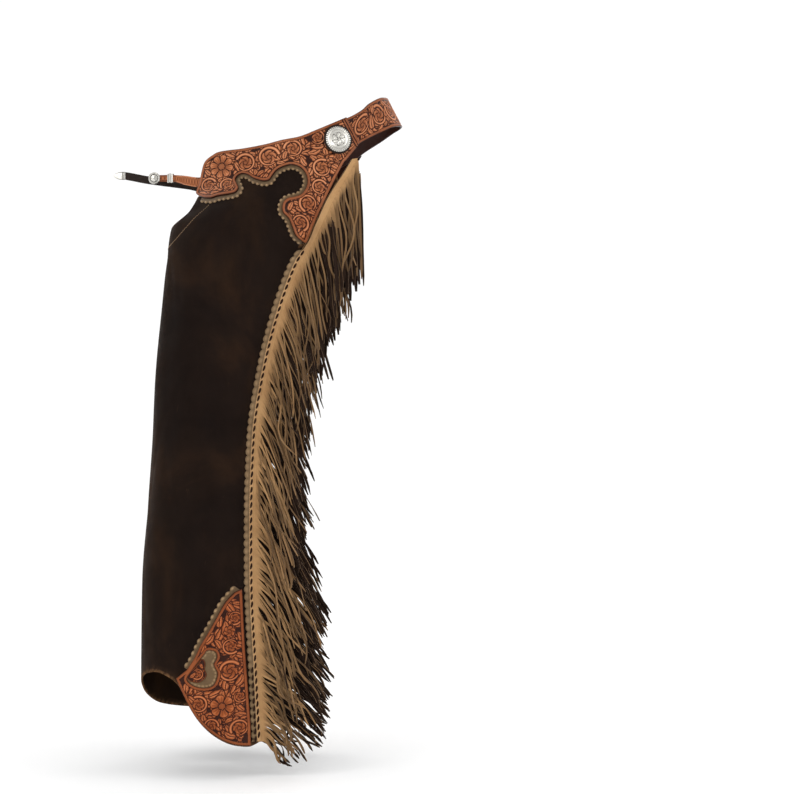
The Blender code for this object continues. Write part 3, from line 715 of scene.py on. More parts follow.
def edge_stitches():
    """A line of thread below the leg's top edge, from under the yoke round the front to the inner side."""
    angles = np.linspace(STITCH_LINE[0][0], STITCH_LINE[-1][0], 900)
    line = leg_points(angles, STITCH_CURVE(angles), 0.1 * MM, FOLDS + CREASES)
    line, _ = even_steps(line, STITCH_PITCH)
    outs = leg_points(angles, STITCH_CURVE(angles), 10 * MM, FOLDS + CREASES)
    outs = even_steps(outs, lengths_along(outs)[-1] / (len(line) - 1))[0]
    vertices, faces = [], []
    for a, b, out in zip(line, line[1:], outs):
        run = b - a
        up = unit(out - a)
        wide = np.cross(run, up) / np.linalg.norm(run)
        faces += tube_faces(len(STITCH_SHAPE), STITCH_SIDES, len(vertices))
        for share, girth in STITCH_SHAPE:
            for turn in turn_steps(STITCH_SIDES):
                spread = wide * math.cos(turn) + up * (math.sin(turn) - 0.2)
                vertices.append(a + run * share + spread * girth * STITCH_RADIUS)
    piece = new_mesh("left_edge_stitches", vertices, faces, THREAD)
    paint(piece, "tone", np.ones(len(vertices)))
    return both_sides(piece)


legs = leg()
edge_threads = edge_stitches()


# Carved leather.
class Pattern:
    """A carved pattern over flat points in millimetres: how high each one stands, from 0 to 1."""

    CUT = 0.9

    def __init__(self, points, from_edge, border, seed):
        self.points = points
        self.from_edge = from_edge
        self.random = random.Random(seed)
        grain = np.sin(points[:, 0] * 2.9 + np.sin(points[:, 1] * 1.7)) * np.sin(points[:, 1] * 3.1)
        self.height = 0.09 + 0.07 * grain
        self.border = border
        self.taken = from_edge < border + 1.5

    def near(self, centre, reach):
        local = self.points - centre
        found = np.flatnonzero(np.hypot(local[:, 0], local[:, 1]) < reach)
        return found, local[found]

    def carve(self, found, margin, height):
        """Raises the points that lie inside a shape, by their margin to its edge, and cuts round it."""
        rim = np.clip((margin + 0.3) / 1.0, 0, 1)
        raised = margin > -0.1
        self.height[found[raised]] = (0.2 + (height - 0.2) * rim)[raised]
        cut = ~raised & (margin > -self.CUT - 0.2)
        self.height[found[cut]] = np.minimum(self.height[found[cut]], 0.0)
        self.taken[found[margin > -self.CUT]] = True

    def flower(self, centre, radius, petals=8, turn=0.0, swirl=0.0):
        found, local = self.near(centre, radius * 1.15)
        reach = np.hypot(local[:, 0], local[:, 1])
        angle = np.arctan2(local[:, 1], local[:, 0]) + turn + swirl * reach / radius
        lobe = np.abs(np.cos(petals * angle / 2))
        edge = radius * (0.72 + 0.28 * lobe**0.6)
        share = np.clip(reach / edge, 0, 1)
        rib = 0.12 * np.cos(petals * angle * 3) * (share < 0.85)
        height = 0.50 + 0.42 * share**2 * lobe**0.4 + rib
        height = np.where((lobe < 0.30) & (share > 0.34), 0.06, height)
        eye = share < 0.30
        seeds = 0.62 + 0.34 * np.sin(local[:, 0] * 2.5) * np.sin(local[:, 1] * 2.5)
        height = np.where(eye, seeds, height)
        height = np.where((share > 0.29) & (share < 0.37), 0.04, height)
        self.carve(found, edge - reach, height)

    def stroke(self, line, half_widths, ribs=0.0):
        """A raised stroke along a line of points, with its half width at each of them."""
        middle = line.mean(axis=0)
        reach = np.hypot(*(line - middle).T).max() + half_widths.max() + 2
        found, local = self.near(middle, reach)
        points = local + middle
        margin = np.full(len(points), -99.0)
        across = np.zeros(len(points))
        along = np.zeros(len(points))
        travelled = 0.0
        for a, b, wide, next_wide in zip(line, line[1:], half_widths, half_widths[1:]):
            run = b - a
            length = math.hypot(*run)
            share = np.clip(((points - a) @ run) / (length**2 + 1e-9), 0, 1)
            gap = points - a - share[:, None] * run
            distance = np.hypot(gap[:, 0], gap[:, 1])
            width = wide + (next_wide - wide) * share
            better = width - distance > margin
            margin[better] = (width - distance)[better]
            side = (run[0] * gap[:, 1] - run[1] * gap[:, 0]) / length
            across[better] = (side / np.maximum(width, 0.2))[better]
            along[better] = (travelled + share * length)[better]
            travelled += length
        height = 0.92 - 0.38 * across**2
        if ribs:
            height = np.where(np.abs(across) < 0.16, 0.22, height)
            height -= 0.22 * (np.sin(ribs * along - 2.6 * np.abs(across)) > 0.55) * (np.abs(across) > 0.16)
        self.carve(found, margin, height)

    def leaf(self, start, direction, length, half_width, bend=0.8, lobes=4):
        """A leaf that leaves its start in a direction and bends, with a lobed edge and veins."""
        shares = np.linspace(0, 1, 15)
        headings = direction + bend * shares
        steps = np.stack([np.cos(headings), np.sin(headings)], -1) * length / 14
        line = np.array(start, float) + np.vstack([[0, 0], np.cumsum(steps[1:], axis=0)])
        widths = half_width * np.sin(np.pi * shares**0.75) ** 0.7
        widths *= 1 + 0.24 * np.cos(2 * np.pi * lobes * shares)
        self.stroke(line, np.maximum(widths, 0.25), ribs=2 * np.pi * lobes / length)

    def whorl(self, centre, radius, start, hand=1, petals=5):
        """A leafy stem that curls round a small turned flower."""
        shares = np.linspace(0, 1, 30)
        angles = start + hand * 1.6 * np.pi * shares
        reach = radius * (1.0 - 0.2 * shares)
        line = np.array(centre) + reach[:, None] * np.stack([np.cos(angles), np.sin(angles)], -1)
        for at, size in ((1, 0.60), (8, 0.54), (15, 0.46), (22, 0.38)):
            outward = angles[at] + hand * 0.8
            self.leaf(line[at], outward, radius * size * 1.5, radius * size * 0.42, hand * 0.9, 3)
        self.stroke(line, radius * (0.17 - 0.09 * shares))
        self.flower(centre, radius * 0.7, petals, start, hand * 2.0)

    def foliage(self, count, sizes, slant):
        """Overlapping leaves all over, that turn slowly from place to place."""
        low, high = self.points.min(axis=0), self.points.max(axis=0)
        placed = 0
        while placed < count:
            centre = np.array([self.random.uniform(low[k], high[k]) for k in (0, 1)])
            found, _ = self.near(centre, 2.0)
            if len(found) < 5 or self.from_edge[found].min() < self.border:
                continue
            placed += 1
            size = self.random.uniform(*sizes)
            drift = 1.5 * math.sin(centre[0] / 21.0 + 1.0) + 1.3 * math.cos(centre[1] / 17.0)
            direction = slant + drift + self.random.gauss(0, 0.35)
            bend = self.random.choice((-1, 1)) * self.random.uniform(0.5, 1.3)
            away = np.array([math.cos(direction), math.sin(direction)])
            self.leaf(centre - away * size, direction - bend / 2, size * 2, size * 0.42, bend, 4)

    def finish(self):
        """The heights with the plain border, its groove and the rounded edge."""
        band = self.from_edge < self.border
        groove = ~band & (self.from_edge < self.border + 1.0)
        self.height[band] = 0.86
        self.height[groove] = 0.0
        return self.height, band.astype(float), np.exp(-self.from_edge / 0.8)


def orient(outline, windows):
    """The outline turned anticlockwise and its windows clockwise."""
    outline = outline if signed_area(outline) > 0 else outline[::-1]
    return outline, [window if signed_area(window) < 0 else window[::-1] for window in windows]


def panel(name, outline, windows, place, out, wall, pattern, relief, look, spacing=0.9, back_spacing=9.0):
    """A piece cut from flat leather and laid on a surface: its carved face, its edges and its back.

    The pattern gives each flat point's height from 0 to 1, then the two other channels of its colour."""
    outline, windows = orient(outline, windows)
    borders = [outline, *windows]
    flat, faces = filled(outline, windows, spacing * MM)
    from_edge = np.min([distance_to(flat, border) for border in borders], axis=0) / MM
    rim_count = sum(len(border) for border in borders)
    from_edge[:rim_count] = 0
    height, second, third = pattern(flat / MM, from_edge)
    rounding = np.minimum(0.8 * MM, wall * 0.45) * (1 - np.clip(from_edge / 1.2, 0, 1)) ** 2
    top = place(flat, out + wall + relief * (height - 0.8) - rounding)
    under_flat, under_faces = filled(outline, windows, back_spacing * MM)
    under = place(under_flat, np.full(len(under_flat), out))
    count = len(top)
    faces = list(faces) + [tuple(count + i for i in reversed(face)) for face in under_faces]
    first = 0
    for border in borders:
        size = len(border)
        for i in range(size):
            a, b = first + i, first + (i + 1) % size
            faces.append((count + a, count + b, b, a))
        first += size
    piece = new_mesh(name, np.vstack([top, under]), faces, look)
    channels = []
    for values, hidden in ((height, 0.1), (second, 0.0), (third, 1.0), (np.ones(count), 1.0)):
        channels.append(np.concatenate([values, np.full(len(under), hidden)]))
    paint(piece, "tooling", np.stack(channels, -1))
    return piece


# How far out the carved pieces lie and how thick they are, and the width of their plain border in millimetres.
CARVED_WALL = (PANEL_OUT, YOKE_WALL)
CARVED_BORDER = 4.2
# The grooves and bands across the yoke's back end: how far in, how high and how plain.
YOKE_END_BANDS = ((1.9, 0.95, 1.0), (4.3, 0.0, 0.0), (6.5, 0.95, 1.0), (8.6, 0.0, 0.0))


def yoke_pattern(points, from_edge):
    carving = Pattern(points, from_edge, CARVED_BORDER, 11)
    carving.foliage(270, (7.0, 13.0), 0.30)
    for row in (
        ((-92, -21), 16.0, 2.6, -1), ((-52, -12), 17.5, 0.4, 1), ((-12, 2), 15.0, 3.0, -1),
        ((28, 22), 12.5, 2.6, -1), ((36, -32), 14.5, 1.2, 1), ((12, -92), 14.0, 4.2, -1),
        ((31, -64), 12.0, 0.6, 1), ((-155, -58), 13.5, 0.6, 1), ((-122, -60), 12.0, 3.6, -1),
        ((-2, -124), 13.0, 5.2, 1), ((62, -12), 10.0, 2.2, -1),
    ):
        carving.whorl(*row)
    carving.flower((-133, -25), 20.5, 8, 0.2, 0.0)
    height, border, dark = carving.finish()
    offset = 94.4 - (points[:, 0] * 0.890 + points[:, 1] * 0.456)
    for middle, level, plain in YOKE_END_BANDS:
        on = np.abs(offset - middle) < 1.1
        height, border = np.where(on, level, height), np.where(on, plain, border)
    return height, border, dark


def corner_pattern(points, from_edge):
    carving = Pattern(points, from_edge, CARVED_BORDER, 23)
    carving.foliage(190, (7.0, 12.5), 0.9)
    for row in (
        ((-119, -882), 17.0, 0.8, 1), ((-104, -978), 14.0, 3.6, -1), ((-112, -793), 11.0, 4.6, 1),
        ((-168, -936), 13.5, 2.0, -1), ((-118, -840), 12.5, 5.4, -1), ((-148, -972), 11.5, 0.0, 1),
        ((-103, -925), 10.5, 1.0, -1),
    ):
        carving.whorl(*row)
    carving.flower((-120, -815), 9.0, 6, 0.0, 0.8)
    carving.flower((-131, -940), 19.0, 6, 0.3, 0.0)
    return carving.finish()


def belt_pattern(points, from_edge):
    carving = Pattern(points, from_edge, CARVED_BORDER, 37)
    carving.foliage(320, (7.0, 12.0), 0.0)
    for i in range(9):
        x = (i - 4) * 40.0
        carving.whorl((x, 1.5), 16.5, 0.9 * i, 1 if i % 2 else -1)
        if i < 8:
            carving.leaf((x + 20, -14.5), 1.75, 26, 4.6, -0.6, 5)
    return carving.finish()


def yoke():
    """The carved leather over one hip."""
    outline = np.vstack([curve_through(line, 1.0 * MM) for line in (YOKE_UPPER, YOKE_BACK, YOKE_LOWER)])
    piece = panel("left_yoke_panel", outline, [], side_points, *CARVED_WALL, yoke_pattern, 1.0 * MM, RUSSET)
    return both_sides(piece, "yoke")


def corner():
    """The carved corner at the back of one hem, with its window."""
    outline = np.vstack([curve_through(line, 1.0 * MM) for line in (CORNER_HEM, CORNER_BACK, CORNER_SLOPE)])
    window = curve_through(WINDOW, 1.0 * MM, closed=True)
    piece = panel(
        "left_corner_panel", outline, [window], side_points, *CARVED_WALL, corner_pattern, 1.0 * MM, ORANGE
    )
    return both_sides(piece, "corner")


BELT_STEPS = np.linspace(BELT[0][0], -90.0, 400)
BELT_INSET = 0.4 * MM


def belt_ring(angles, out):
    """The belt's middle line on the left half, moved out."""
    _, x_middle, depth, _, width = ring(RINGS[0][0])
    turn = np.radians(angles)
    x = x_middle - (depth - BELT_INSET + out) * np.sin(turn)
    y = -(width - BELT_INSET + out) * np.cos(turn)
    return x, y, x - x_middle


def belt_run():
    """How far along the belt's middle line each of its angles lies."""
    x, y, _ = belt_ring(BELT_STEPS, 0.0)
    return lengths_along(np.stack([x, y, BELT_LEVEL(BELT_STEPS)], -1))


BELT_RUN = belt_run()
BELT_HALF = BELT_RUN[-1]


def belt_points(flat, out=0.0):
    """Points of the belt over flat ones: x runs from the left yoke over the middle, 0, to the right one."""
    angle = np.interp(BELT_HALF - np.abs(flat[:, 0]), BELT_RUN, BELT_STEPS)
    x, y, back = belt_ring(angle, np.asarray(out, float))
    z = BELT_LEVEL(angle) + flat[:, 1] + RINGS[0][1] * back
    x = x - BELT_LEAN(angle) * flat[:, 1]
    return np.stack([x, np.where(flat[:, 0] > 0, -y, y), z], -1)


def belt():
    """The carved belt round the back, between the two yokes."""
    lengths = np.arange(-BELT_HALF, BELT_HALF, 1.0 * MM)
    angles = np.interp(BELT_HALF - np.abs(lengths), BELT_RUN, BELT_STEPS)
    halves = BELT_HALF_WIDTH(angles)
    outline = np.vstack([np.stack([lengths, -halves], -1), np.stack([lengths, halves], -1)[::-1]])
    wall = (-BELT_WALL, BELT_WALL)
    piece = panel("belt_panel", outline, [], belt_points, *wall, belt_pattern, 0.9 * MM, RUSSET)
    return register(piece, ["belt"])


# Scalloped trims.
SCALLOP = 3.0


def nearest_on(line, flat):
    """For flat points in millimetres, which point of a line is the nearest, and how far it is."""
    nearest = np.array([np.argmin(((line - point * MM) ** 2).sum(axis=1)) for point in flat])
    return nearest, np.linalg.norm(flat * MM - line[nearest], axis=1) / MM


def beaded_suede(name, outline, beads, low_tone):
    """A piece of trim suede on the leg, lighter on its beads, with painted shade around them."""
    place = (side_points, SEAT_GAP, TRIM_WALL)
    piece = panel(name, outline, [], *place, beads, 1.1 * MM, TRIM_SUEDE, 1.1, 5.0)
    beads_seen = np.array([value.color[1] for value in piece.data.color_attributes["tooling"].data])
    # Painted shade: the tone drops off the beads, in the dips between and round them.
    paint(piece, "tone", low_tone + (1 - low_tone) * np.clip(beads_seen * 1.3, 0, 1))
    return piece


def edge_trim(part, points, reach, tuck, pitch):
    """A suede strip under a panel's edge, that shows beyond it in scallops with a raised bead in each."""
    line = curve_through(points, 0.5 * MM)
    plain, along = even_steps(shifted(line, (reach - SCALLOP) * MM, 0.5 * MM), 0.5 * MM)
    count = round(along[-1] / MM / pitch)
    lobes = np.abs(np.sin(np.pi * count * along / along[-1]))
    outer = plain + left_of(plain) * (SCALLOP * MM * lobes**0.8)[:, None]
    inner = shifted(line, -tuck * MM, 0.8 * MM)[::-1]

    def beads(flat, from_edge):
        nearest, away = nearest_on(outer, flat)
        bead = lobes[nearest] ** 1.5 * hump(away, 2.4, 1.9)
        groove = hump(away, 5.2, 0.7)
        return np.clip(0.25 + 0.75 * bead - 0.5 * groove, 0, 1), bead, groove

    piece = beaded_suede(f"left_{part}_strip", np.vstack([outer, inner]), beads, 0.28)
    return both_sides(piece, part)


def closed_strip(name, face, back, look):
    """A solid strip between two grids of points, its face and its back."""
    rows, columns = face.shape[:2]
    top, under = face.reshape(-1, 3), back.reshape(-1, 3)
    count = rows * columns
    faces = []
    for row in range(rows - 1):
        for column in range(columns - 1):
            a = row * columns + column
            faces.append((a, a + 1, a + columns + 1, a + columns))
            faces.append((count + a, count + a + columns, count + a + columns + 1, count + a + 1))
    rim = list(range(columns))
    rim += [row * columns + columns - 1 for row in range(1, rows)]
    rim += [(rows - 1) * columns + i for i in range(columns - 2, -1, -1)]
    rim += [row * columns for row in range(rows - 2, 0, -1)]
    for a, b in zip(rim, rim[1:] + rim[:1]):
        faces.append((b, a, count + a, count + b))
    return new_mesh(name, np.vstack([top, under]), faces, look)


SEAM_TOP, SEAM_BOTTOM = -0.174, -1.004
# The two fringes' walls, how far out the upper one lies, and how far out the seam trim passes over it.
FRINGE_WALLS = (1.2 * MM, 1.1 * MM)
TOP_OUT = SEAT_GAP + FRINGE_WALLS[0] + 1.5 * MM
SEAM_OVER = TOP_OUT + 2.0 * MM
# The seam trim's edges and the side of its laced band, as turns round the leg in degrees.
SEAM_LEFT, SEAM_NOTCH, SEAM_RIGHT = 7.9, 2.7, -2.6
LACED_BAND = 2.9
SCALLOP_PITCH = 13.0
LACE_PITCH = 13.0
LACE_HALF_LENGTH = 5.9 * MM
LACE_HALF_WIDTH = 3.1 * MM
SECOND_LACE_LEVEL = -0.88


def seam_out(turn):
    """How far the seam trim's back stands off the leg, by its turn round it."""
    return np.interp(turn, (2.8, 5.5, 8.5), (SEAM_OVER, SEAT_GAP + 0.6 * MM, SEAT_GAP))


def seam_trim():
    """The scalloped strip over the outside seam, with a bead in each scallop, and the lace's band."""
    levels = np.linspace(SEAM_TOP, SEAM_BOTTOM, 800)
    along = lengths_along(leg_points(STRIP_CURVE(levels) + 3, levels)) / MM
    lobes = np.abs(np.sin(np.pi * along / SCALLOP_PITCH))
    left = (SEAM_LEFT - SEAM_NOTCH * (1 - lobes**0.7))[:, None]
    turns = left + (SEAM_RIGHT - left) * np.linspace(0, 1, 22)
    bead = lobes[:, None] ** 1.3 * hump(turns, 5.6, 1.6, 4)
    ridge = hump(turns, -1.9, 0.5) + hump(turns, 2.6, 0.5)
    knots = np.abs(np.cos(np.pi * along / LACE_PITCH))[:, None] ** 3 * hump(turns, 0.3, 1.3, 4)
    edge = np.minimum(left - turns, turns - SEAM_RIGHT) * 1.8
    rounding = 0.6 * (1 - np.clip(edge / 0.9, 0, 1)) ** 2
    rise = 0.22 * bead + 0.45 * ridge + 0.15 * knots - rounding
    outs = seam_out(turns) + TRIM_WALL + (rise - 0.2) * MM
    angles = STRIP_CURVE(levels)[:, None] + turns
    grid_levels = np.broadcast_to(levels[:, None], turns.shape)
    face = leg_points(angles, grid_levels, outs)
    back = leg_points(angles, grid_levels, seam_out(turns))
    piece = closed_strip("left_seam_strip", face[::-1], back[::-1], [TRIM_SUEDE, FRINGE_SUEDE])
    band = ((turns[:-1, :-1] + turns[1:, 1:]) / 2 < LACED_BAND)[::-1].ravel()
    looks = np.zeros(len(piece.data.polygons), np.int32)
    looks[: 2 * len(band)] = np.repeat(band, 2)
    piece.data.polygons.foreach_set("material_index", looks)
    # Painted shade: the tone is low off the beads, between the scallops, and high on the laced band.
    tone = (0.30 + 0.70 * np.clip(0.50 * bead + 0.95 * (turns < LACED_BAND), 0, 1))[::-1].ravel()
    paint(piece, "tone", np.concatenate([tone, tone]))
    return both_sides(piece, "seam_trim")


def seam_lace():
    """Dark lace in slanted stitches along the seam, in a second column too near the hem."""
    vertices, faces = [], []
    rings, sides = 7, 8
    levels = np.linspace(SEAM_TOP, SEAM_BOTTOM, 1000)
    along = lengths_along(leg_points(STRIP_CURVE(levels) + 1.2, levels)) / MM
    count = int(along[-1] / LACE_PITCH)
    for i in range(2 * count):
        level = float(np.interp((i // 2 + 0.5 + 0.5 * (i % 2)) * LACE_PITCH, along, levels))
        turn = (0.3, 3.9)[i % 2]
        if i % 2 and level > SECOND_LACE_LEVEL:
            continue
        angle = STRIP_CURVE(level) + turn
        centre = leg_points(angle, level, seam_out(turn) + TRIM_WALL + 0.1 * MM)
        outward = unit(leg_points(angle, level, 0.02) - leg_points(angle, level, 0.01))
        down = unit(leg_points(angle, level - 0.004) - leg_points(angle, level + 0.004))
        run = down * 0.93 - np.cross(outward, down) * 0.37
        wide = np.cross(outward, run) * LACE_HALF_WIDTH
        faces += tube_faces(rings, sides, len(vertices))
        for share in np.linspace(-1, 1, rings):
            girth = max(1 - share**2, 0.02) ** 0.5
            middle = centre + run * share * LACE_HALF_LENGTH
            for turn in turn_steps(sides):
                lift = (math.sin(turn) * girth + 0.2 - 0.5 * abs(share)) * MM
                vertices.append(middle + wide * girth * math.cos(turn) + outward * lift)
    piece = new_mesh("left_seam_lace", vertices, faces, LACE)
    paint(piece, "tone", np.ones(len(vertices)))
    return both_sides(piece, "seam_trim")


# Fringe.
STRIP_TOP, STRIP_BOTTOM = STRIP_EDGE[0][0], STRIP_EDGE[-1][0]
STRAND_COUNT = 205


def strip_frame(level, layer, out):
    """Where the fringe's strip starts at a level, where it bends, and the way its flange leads."""
    angle = STRIP_CURVE(level)
    inner = leg_points(angle, level, out)
    middle = leg_points(angle - 3.5, level, out)
    square = unit(leg_points(angle - 3.5, level, out + 0.01) - middle)
    along = unit(np.stack([-square[..., 1], square[..., 0], np.zeros_like(square[..., 0])], -1))
    spread = math.radians(FLANGE_SPREADS[layer])
    return inner, middle, along * math.cos(spread) + square * math.sin(spread)


LOCK = 6
LONG_SHARE = 0.045
LONG_LEVELS = (-0.90, -0.12)
# For each layer, the upper one first: how far back its strands reach as a share, with what a lock and a strand
# add, how far down as a share, their width as a share of the pitch, their bow and curl in metres, how long they
# stay uncut and their twist.
LAYER_COLUMNS = ("back", "lock", "own", "short", "long", "slim", "broad", "bow", "curl", "uncut", "twist")
LAYERS = (
    (0.66, 0.15, 0.12, 0.80, 1.05, 0.25, 0.40, 0.0090, 0.0055, 0.070, 0.75),
    (0.95, 0.07, 0.06, 0.86, 1.04, 0.42, 0.50, 0.0050, 0.0035, 0.030, 0.35),
)
SHARES = np.concatenate([np.linspace(0, 0.10, 6), np.linspace(0.15, 1, 14)])[:, None]
# How the strands change with the height of their root, each as a row of heights and a row of factors.
BACK_BY_ROOT = ((-1.0, -0.95, -0.34, -0.22, -0.05), (0.68, 1.04, 1.04, 0.96, 0.76))
TOP_BACK_BY_ROOT = ((-0.26, -0.12), (1.0, 1.25))
DOWN_BY_ROOT = ((-1.0, -0.94), (1.22, 1.0))
TOP_WIDTH_BY_ROOT = ((-1.0, -0.93, -0.80, -0.20), (1.2, 1.0, 0.95, 0.68))
SHADE_BY_ROOT = ((-0.80, -0.50, -0.20), (0.96, 0.84, 0.54))
MOST_BEND = 0.010
STRIP_TONE = 0.84


def fringe(layer, part, out, wall, look_order, strip_share):
    """A strip and the strands cut from it, in loose locks that bend from the strip's way to hanging down."""
    chance = random.Random(71 + layer)
    ways = dict(zip(LAYER_COLUMNS, LAYERS[layer]))
    levels = np.linspace(STRIP_TOP, STRIP_BOTTOM, STRAND_COUNT + 1)
    inner, middle, flange = strip_frame(levels, layer, out)
    uncut = FLANGE_CURVE(levels)[:, None] * strip_share
    tip_line = middle + flange * uncut
    locks = np.array([[chance.gauss(0, 1) for _ in range(3)] for _ in range(STRAND_COUNT // LOCK + 3)])
    vertices, faces, looks, tones = [], [], [], []

    def ribbon(line, across, halves, thick, tone, front, back):
        """A closed ribbon along a line: 4 corners at each station."""
        start = len(vertices)
        for place, wide, half, normal, shade in zip(line, across, halves, thick, tone):
            for u, v in ((-1, -1), (1, -1), (1, 1), (-1, 1)):
                vertices.append(place + wide * half * u + normal * wall / 2 * (v + 1))
                tones.append(shade)
        for row in range(len(line) - 1):
            a = start + row * 4
            for k, look in ((0, back), (1, 0), (2, front), (3, 0)):
                b = (k + 1) % 4
                faces.append((a + k, a + 4 + k, a + 4 + b, a + b))
                looks.append(look)
        faces.append((start, start + 1, start + 2, start + 3))
        last = start + (len(line) - 1) * 4
        faces.append((last + 3, last + 2, last + 1, last))
        looks.extend((0, 0))

    for i in range(STRAND_COUNT):
        upper, lower = tip_line[i], tip_line[i + 1]
        root = (upper + lower) / 2
        lead = (flange[i] + flange[i + 1]) / 2
        pitch = float(np.linalg.norm(upper - lower))
        back, down = float(BACK_CURVE(root[2])), float(DOWN_CURVE(root[2]))
        swing, sway, fall = [float(np.interp(i / LOCK, np.arange(len(locks)), locks[:, k])) for k in range(3)]
        stray = chance.random() < 0.13
        reach = ways["back"] + ways["lock"] * swing + ways["own"] * chance.gauss(0, 1)
        back *= min(max(reach, 0.2), 1.10)
        back *= float(np.interp(root[2], *BACK_BY_ROOT))
        if layer == 0:
            back *= float(np.interp(root[2], *TOP_BACK_BY_ROOT))
        down *= chance.uniform(ways["short"], ways["long"]) * (1 + 0.03 * fall)
        down *= float(np.interp(root[2], *DOWN_BY_ROOT))
        if chance.random() < LONG_SHARE and LONG_LEVELS[0] < root[2] < LONG_LEVELS[1]:
            back += chance.uniform(0.010, 0.022)
            down *= 1.06
        side = (-0.0045 if layer == 0 else 0.0015) + 0.003 * sway + chance.uniform(-0.005, 0.005)
        tip = np.array([back, side * 1.6, -down])
        knee = lead * back * 0.55 + np.array([back * 0.15, side, -down * 0.35])
        path = root + 2 * SHARES * (1 - SHARES) * knee + SHARES**2 * tip
        waves, phase = chance.uniform(0.7, 1.9), chance.uniform(0, math.tau)
        bend = min(max(chance.gauss(0, ways["bow"]), -MOST_BEND), MOST_BEND)
        if stray and layer == 0:
            bend *= 2.0
        bow = bend * SHARES**1.1 * np.sin(phase + waves * np.pi * SHARES * 1.6)
        curl = chance.gauss(0, ways["curl"]) * SHARES**1.4 * np.sin(phase * 1.7 + waves * np.pi * SHARES)
        flat_side = unit(np.cross(unit(np.gradient(path, axis=0)), (0.0, 1.0, 0.0)))
        path = path + flat_side * bow + np.array([0, 1.0, 0]) * curl
        heading = unit(np.gradient(path, axis=0))
        row_side = (upper - lower) / pitch
        uncut_share = chance.uniform(0, ways["uncut"])
        turning = np.clip((SHARES - uncut_share) / 0.3, 0, 1)
        wide = flat_side * turning + row_side * (1 - turning) * np.sign(np.dot(flat_side[0], row_side))
        straight = unit(wide - heading * np.sum(wide * heading, axis=1, keepdims=True))
        square = np.cross(straight, heading)
        most_twist = chance.gauss(0, ways["twist"]) if chance.random() < 0.78 else chance.uniform(-3.2, 3.2)
        twist = most_twist * np.clip((SHARES - 0.12) / 0.88, 0, 1) ** 1.2
        wide = straight * np.cos(twist) + square * np.sin(twist)
        normal = square * np.cos(twist) - straight * np.sin(twist)
        slim = chance.uniform(ways["slim"], ways["broad"])
        if layer == 0:
            slim *= float(np.interp(root[2], *TOP_WIDTH_BY_ROOT))
        halves = pitch * (slim + (0.5 - slim) * np.clip(1 - (SHARES[:, 0] - uncut_share) / 0.13, 0, 1))
        halves[-1] *= chance.uniform(0.15, 0.6)
        front, reverse = look_order if normal[0, 1] <= 0 else look_order[::-1]
        shade = float(np.interp(root[2], *SHADE_BY_ROOT))
        tone = shade * chance.uniform(0.14, 0.86) * (1 - chance.uniform(0.2, 0.7) * SHARES[:, 0] ** 1.4)
        tone = STRIP_TONE + (tone - STRIP_TONE) * np.clip(SHARES[:, 0] / 0.15, 0, 1)
        ribbon(path, wide, halves, normal, tone, front, reverse)

    strip = np.stack([inner, middle, middle + flange * uncut * 0.5, middle + flange * uncut * 1.05], 1)
    square = unit(np.cross(flange, np.gradient(tip_line, axis=0)))
    square *= np.sign(-square[:, 1:2])
    start = len(vertices)
    vertices.extend(strip.reshape(-1, 3))
    vertices.extend((strip + square[:, None] * wall).reshape(-1, 3))
    columns, count = 4, len(strip) * 4
    tones.extend([STRIP_TONE] * (2 * count))
    for row in range(len(strip) - 1):
        for column in range(columns - 1):
            a = start + row * columns + column
            b = a + columns
            faces.append((a, b, b + 1, a + 1))
            faces.append((count + a, count + a + 1, count + b + 1, count + b))
            looks.extend((0 if layer == 0 else 1,) * 2)
        a = start + row * columns
        for k in (0, columns - 1):
            quad = (a + k, count + a + k, count + a + columns + k, a + columns + k)
            faces.append(quad if k else quad[::-1])
            looks.append(0)
    piece = new_mesh(f"left_{part}_strands", vertices, faces, FRINGE_LOOKS)
    piece.data.polygons.foreach_set("material_index", looks)
    paint(piece, "tone", tones)
    return both_sides(piece, part)


WINDOW_BEAD_PITCH = 6.6


def window_inlay():
    """The suede that shows in the corner's window, with beads along the window's edge and painted shade off
    them.
    """
    window = curve_through(WINDOW, 0.8 * MM, closed=True)
    middle = window.mean(axis=0)
    outline = middle + (window - middle) * 1.16

    def beads(flat, from_edge):
        nearest, away = nearest_on(window, flat)
        bead = np.abs(np.sin(np.pi * nearest * 0.8 / WINDOW_BEAD_PITCH)) ** 0.8 * hump(away, 2.2, 1.6)
        bead = np.where(inside(flat * MM, window), bead, 0)
        return 0.3 + 0.7 * bead, bead, np.zeros(len(flat))

    return both_sides(beaded_suede("left_window_inlay", outline, beads, 0.35))


ISLAND = (
    (-189, -886), (-180, -879), (-171, -870), (-165, -861), (-160, -861), (-157, -868), (-158, -877),
    (-155, -886), (-159, -894), (-167, -899), (-176, -899), (-184, -896),
)


def window_island():
    """The small carved leaf that stands in the window."""
    outline = curve_through(ISLAND, 0.8 * MM, closed=True)

    def carved(points, from_edge):
        carving = Pattern(points, from_edge, 1.3, 5)
        carving.whorl((-170, -885), 9.0, 3.9, 1)
        carving.leaf((-182, -891), 0.5, 13, 2.6, 0.5, 3)
        carving.leaf((-166, -868), -0.9, 10, 2.2, -0.5, 3)
        return carving.finish()

    wall = (SEAT_GAP + TRIM_WALL + 0.3 * MM, 2.4 * MM)
    piece = panel("left_window_leaf", outline, [], side_points, *wall, carved, 0.9 * MM, ORANGE, 0.9, 5.0)
    return both_sides(piece)


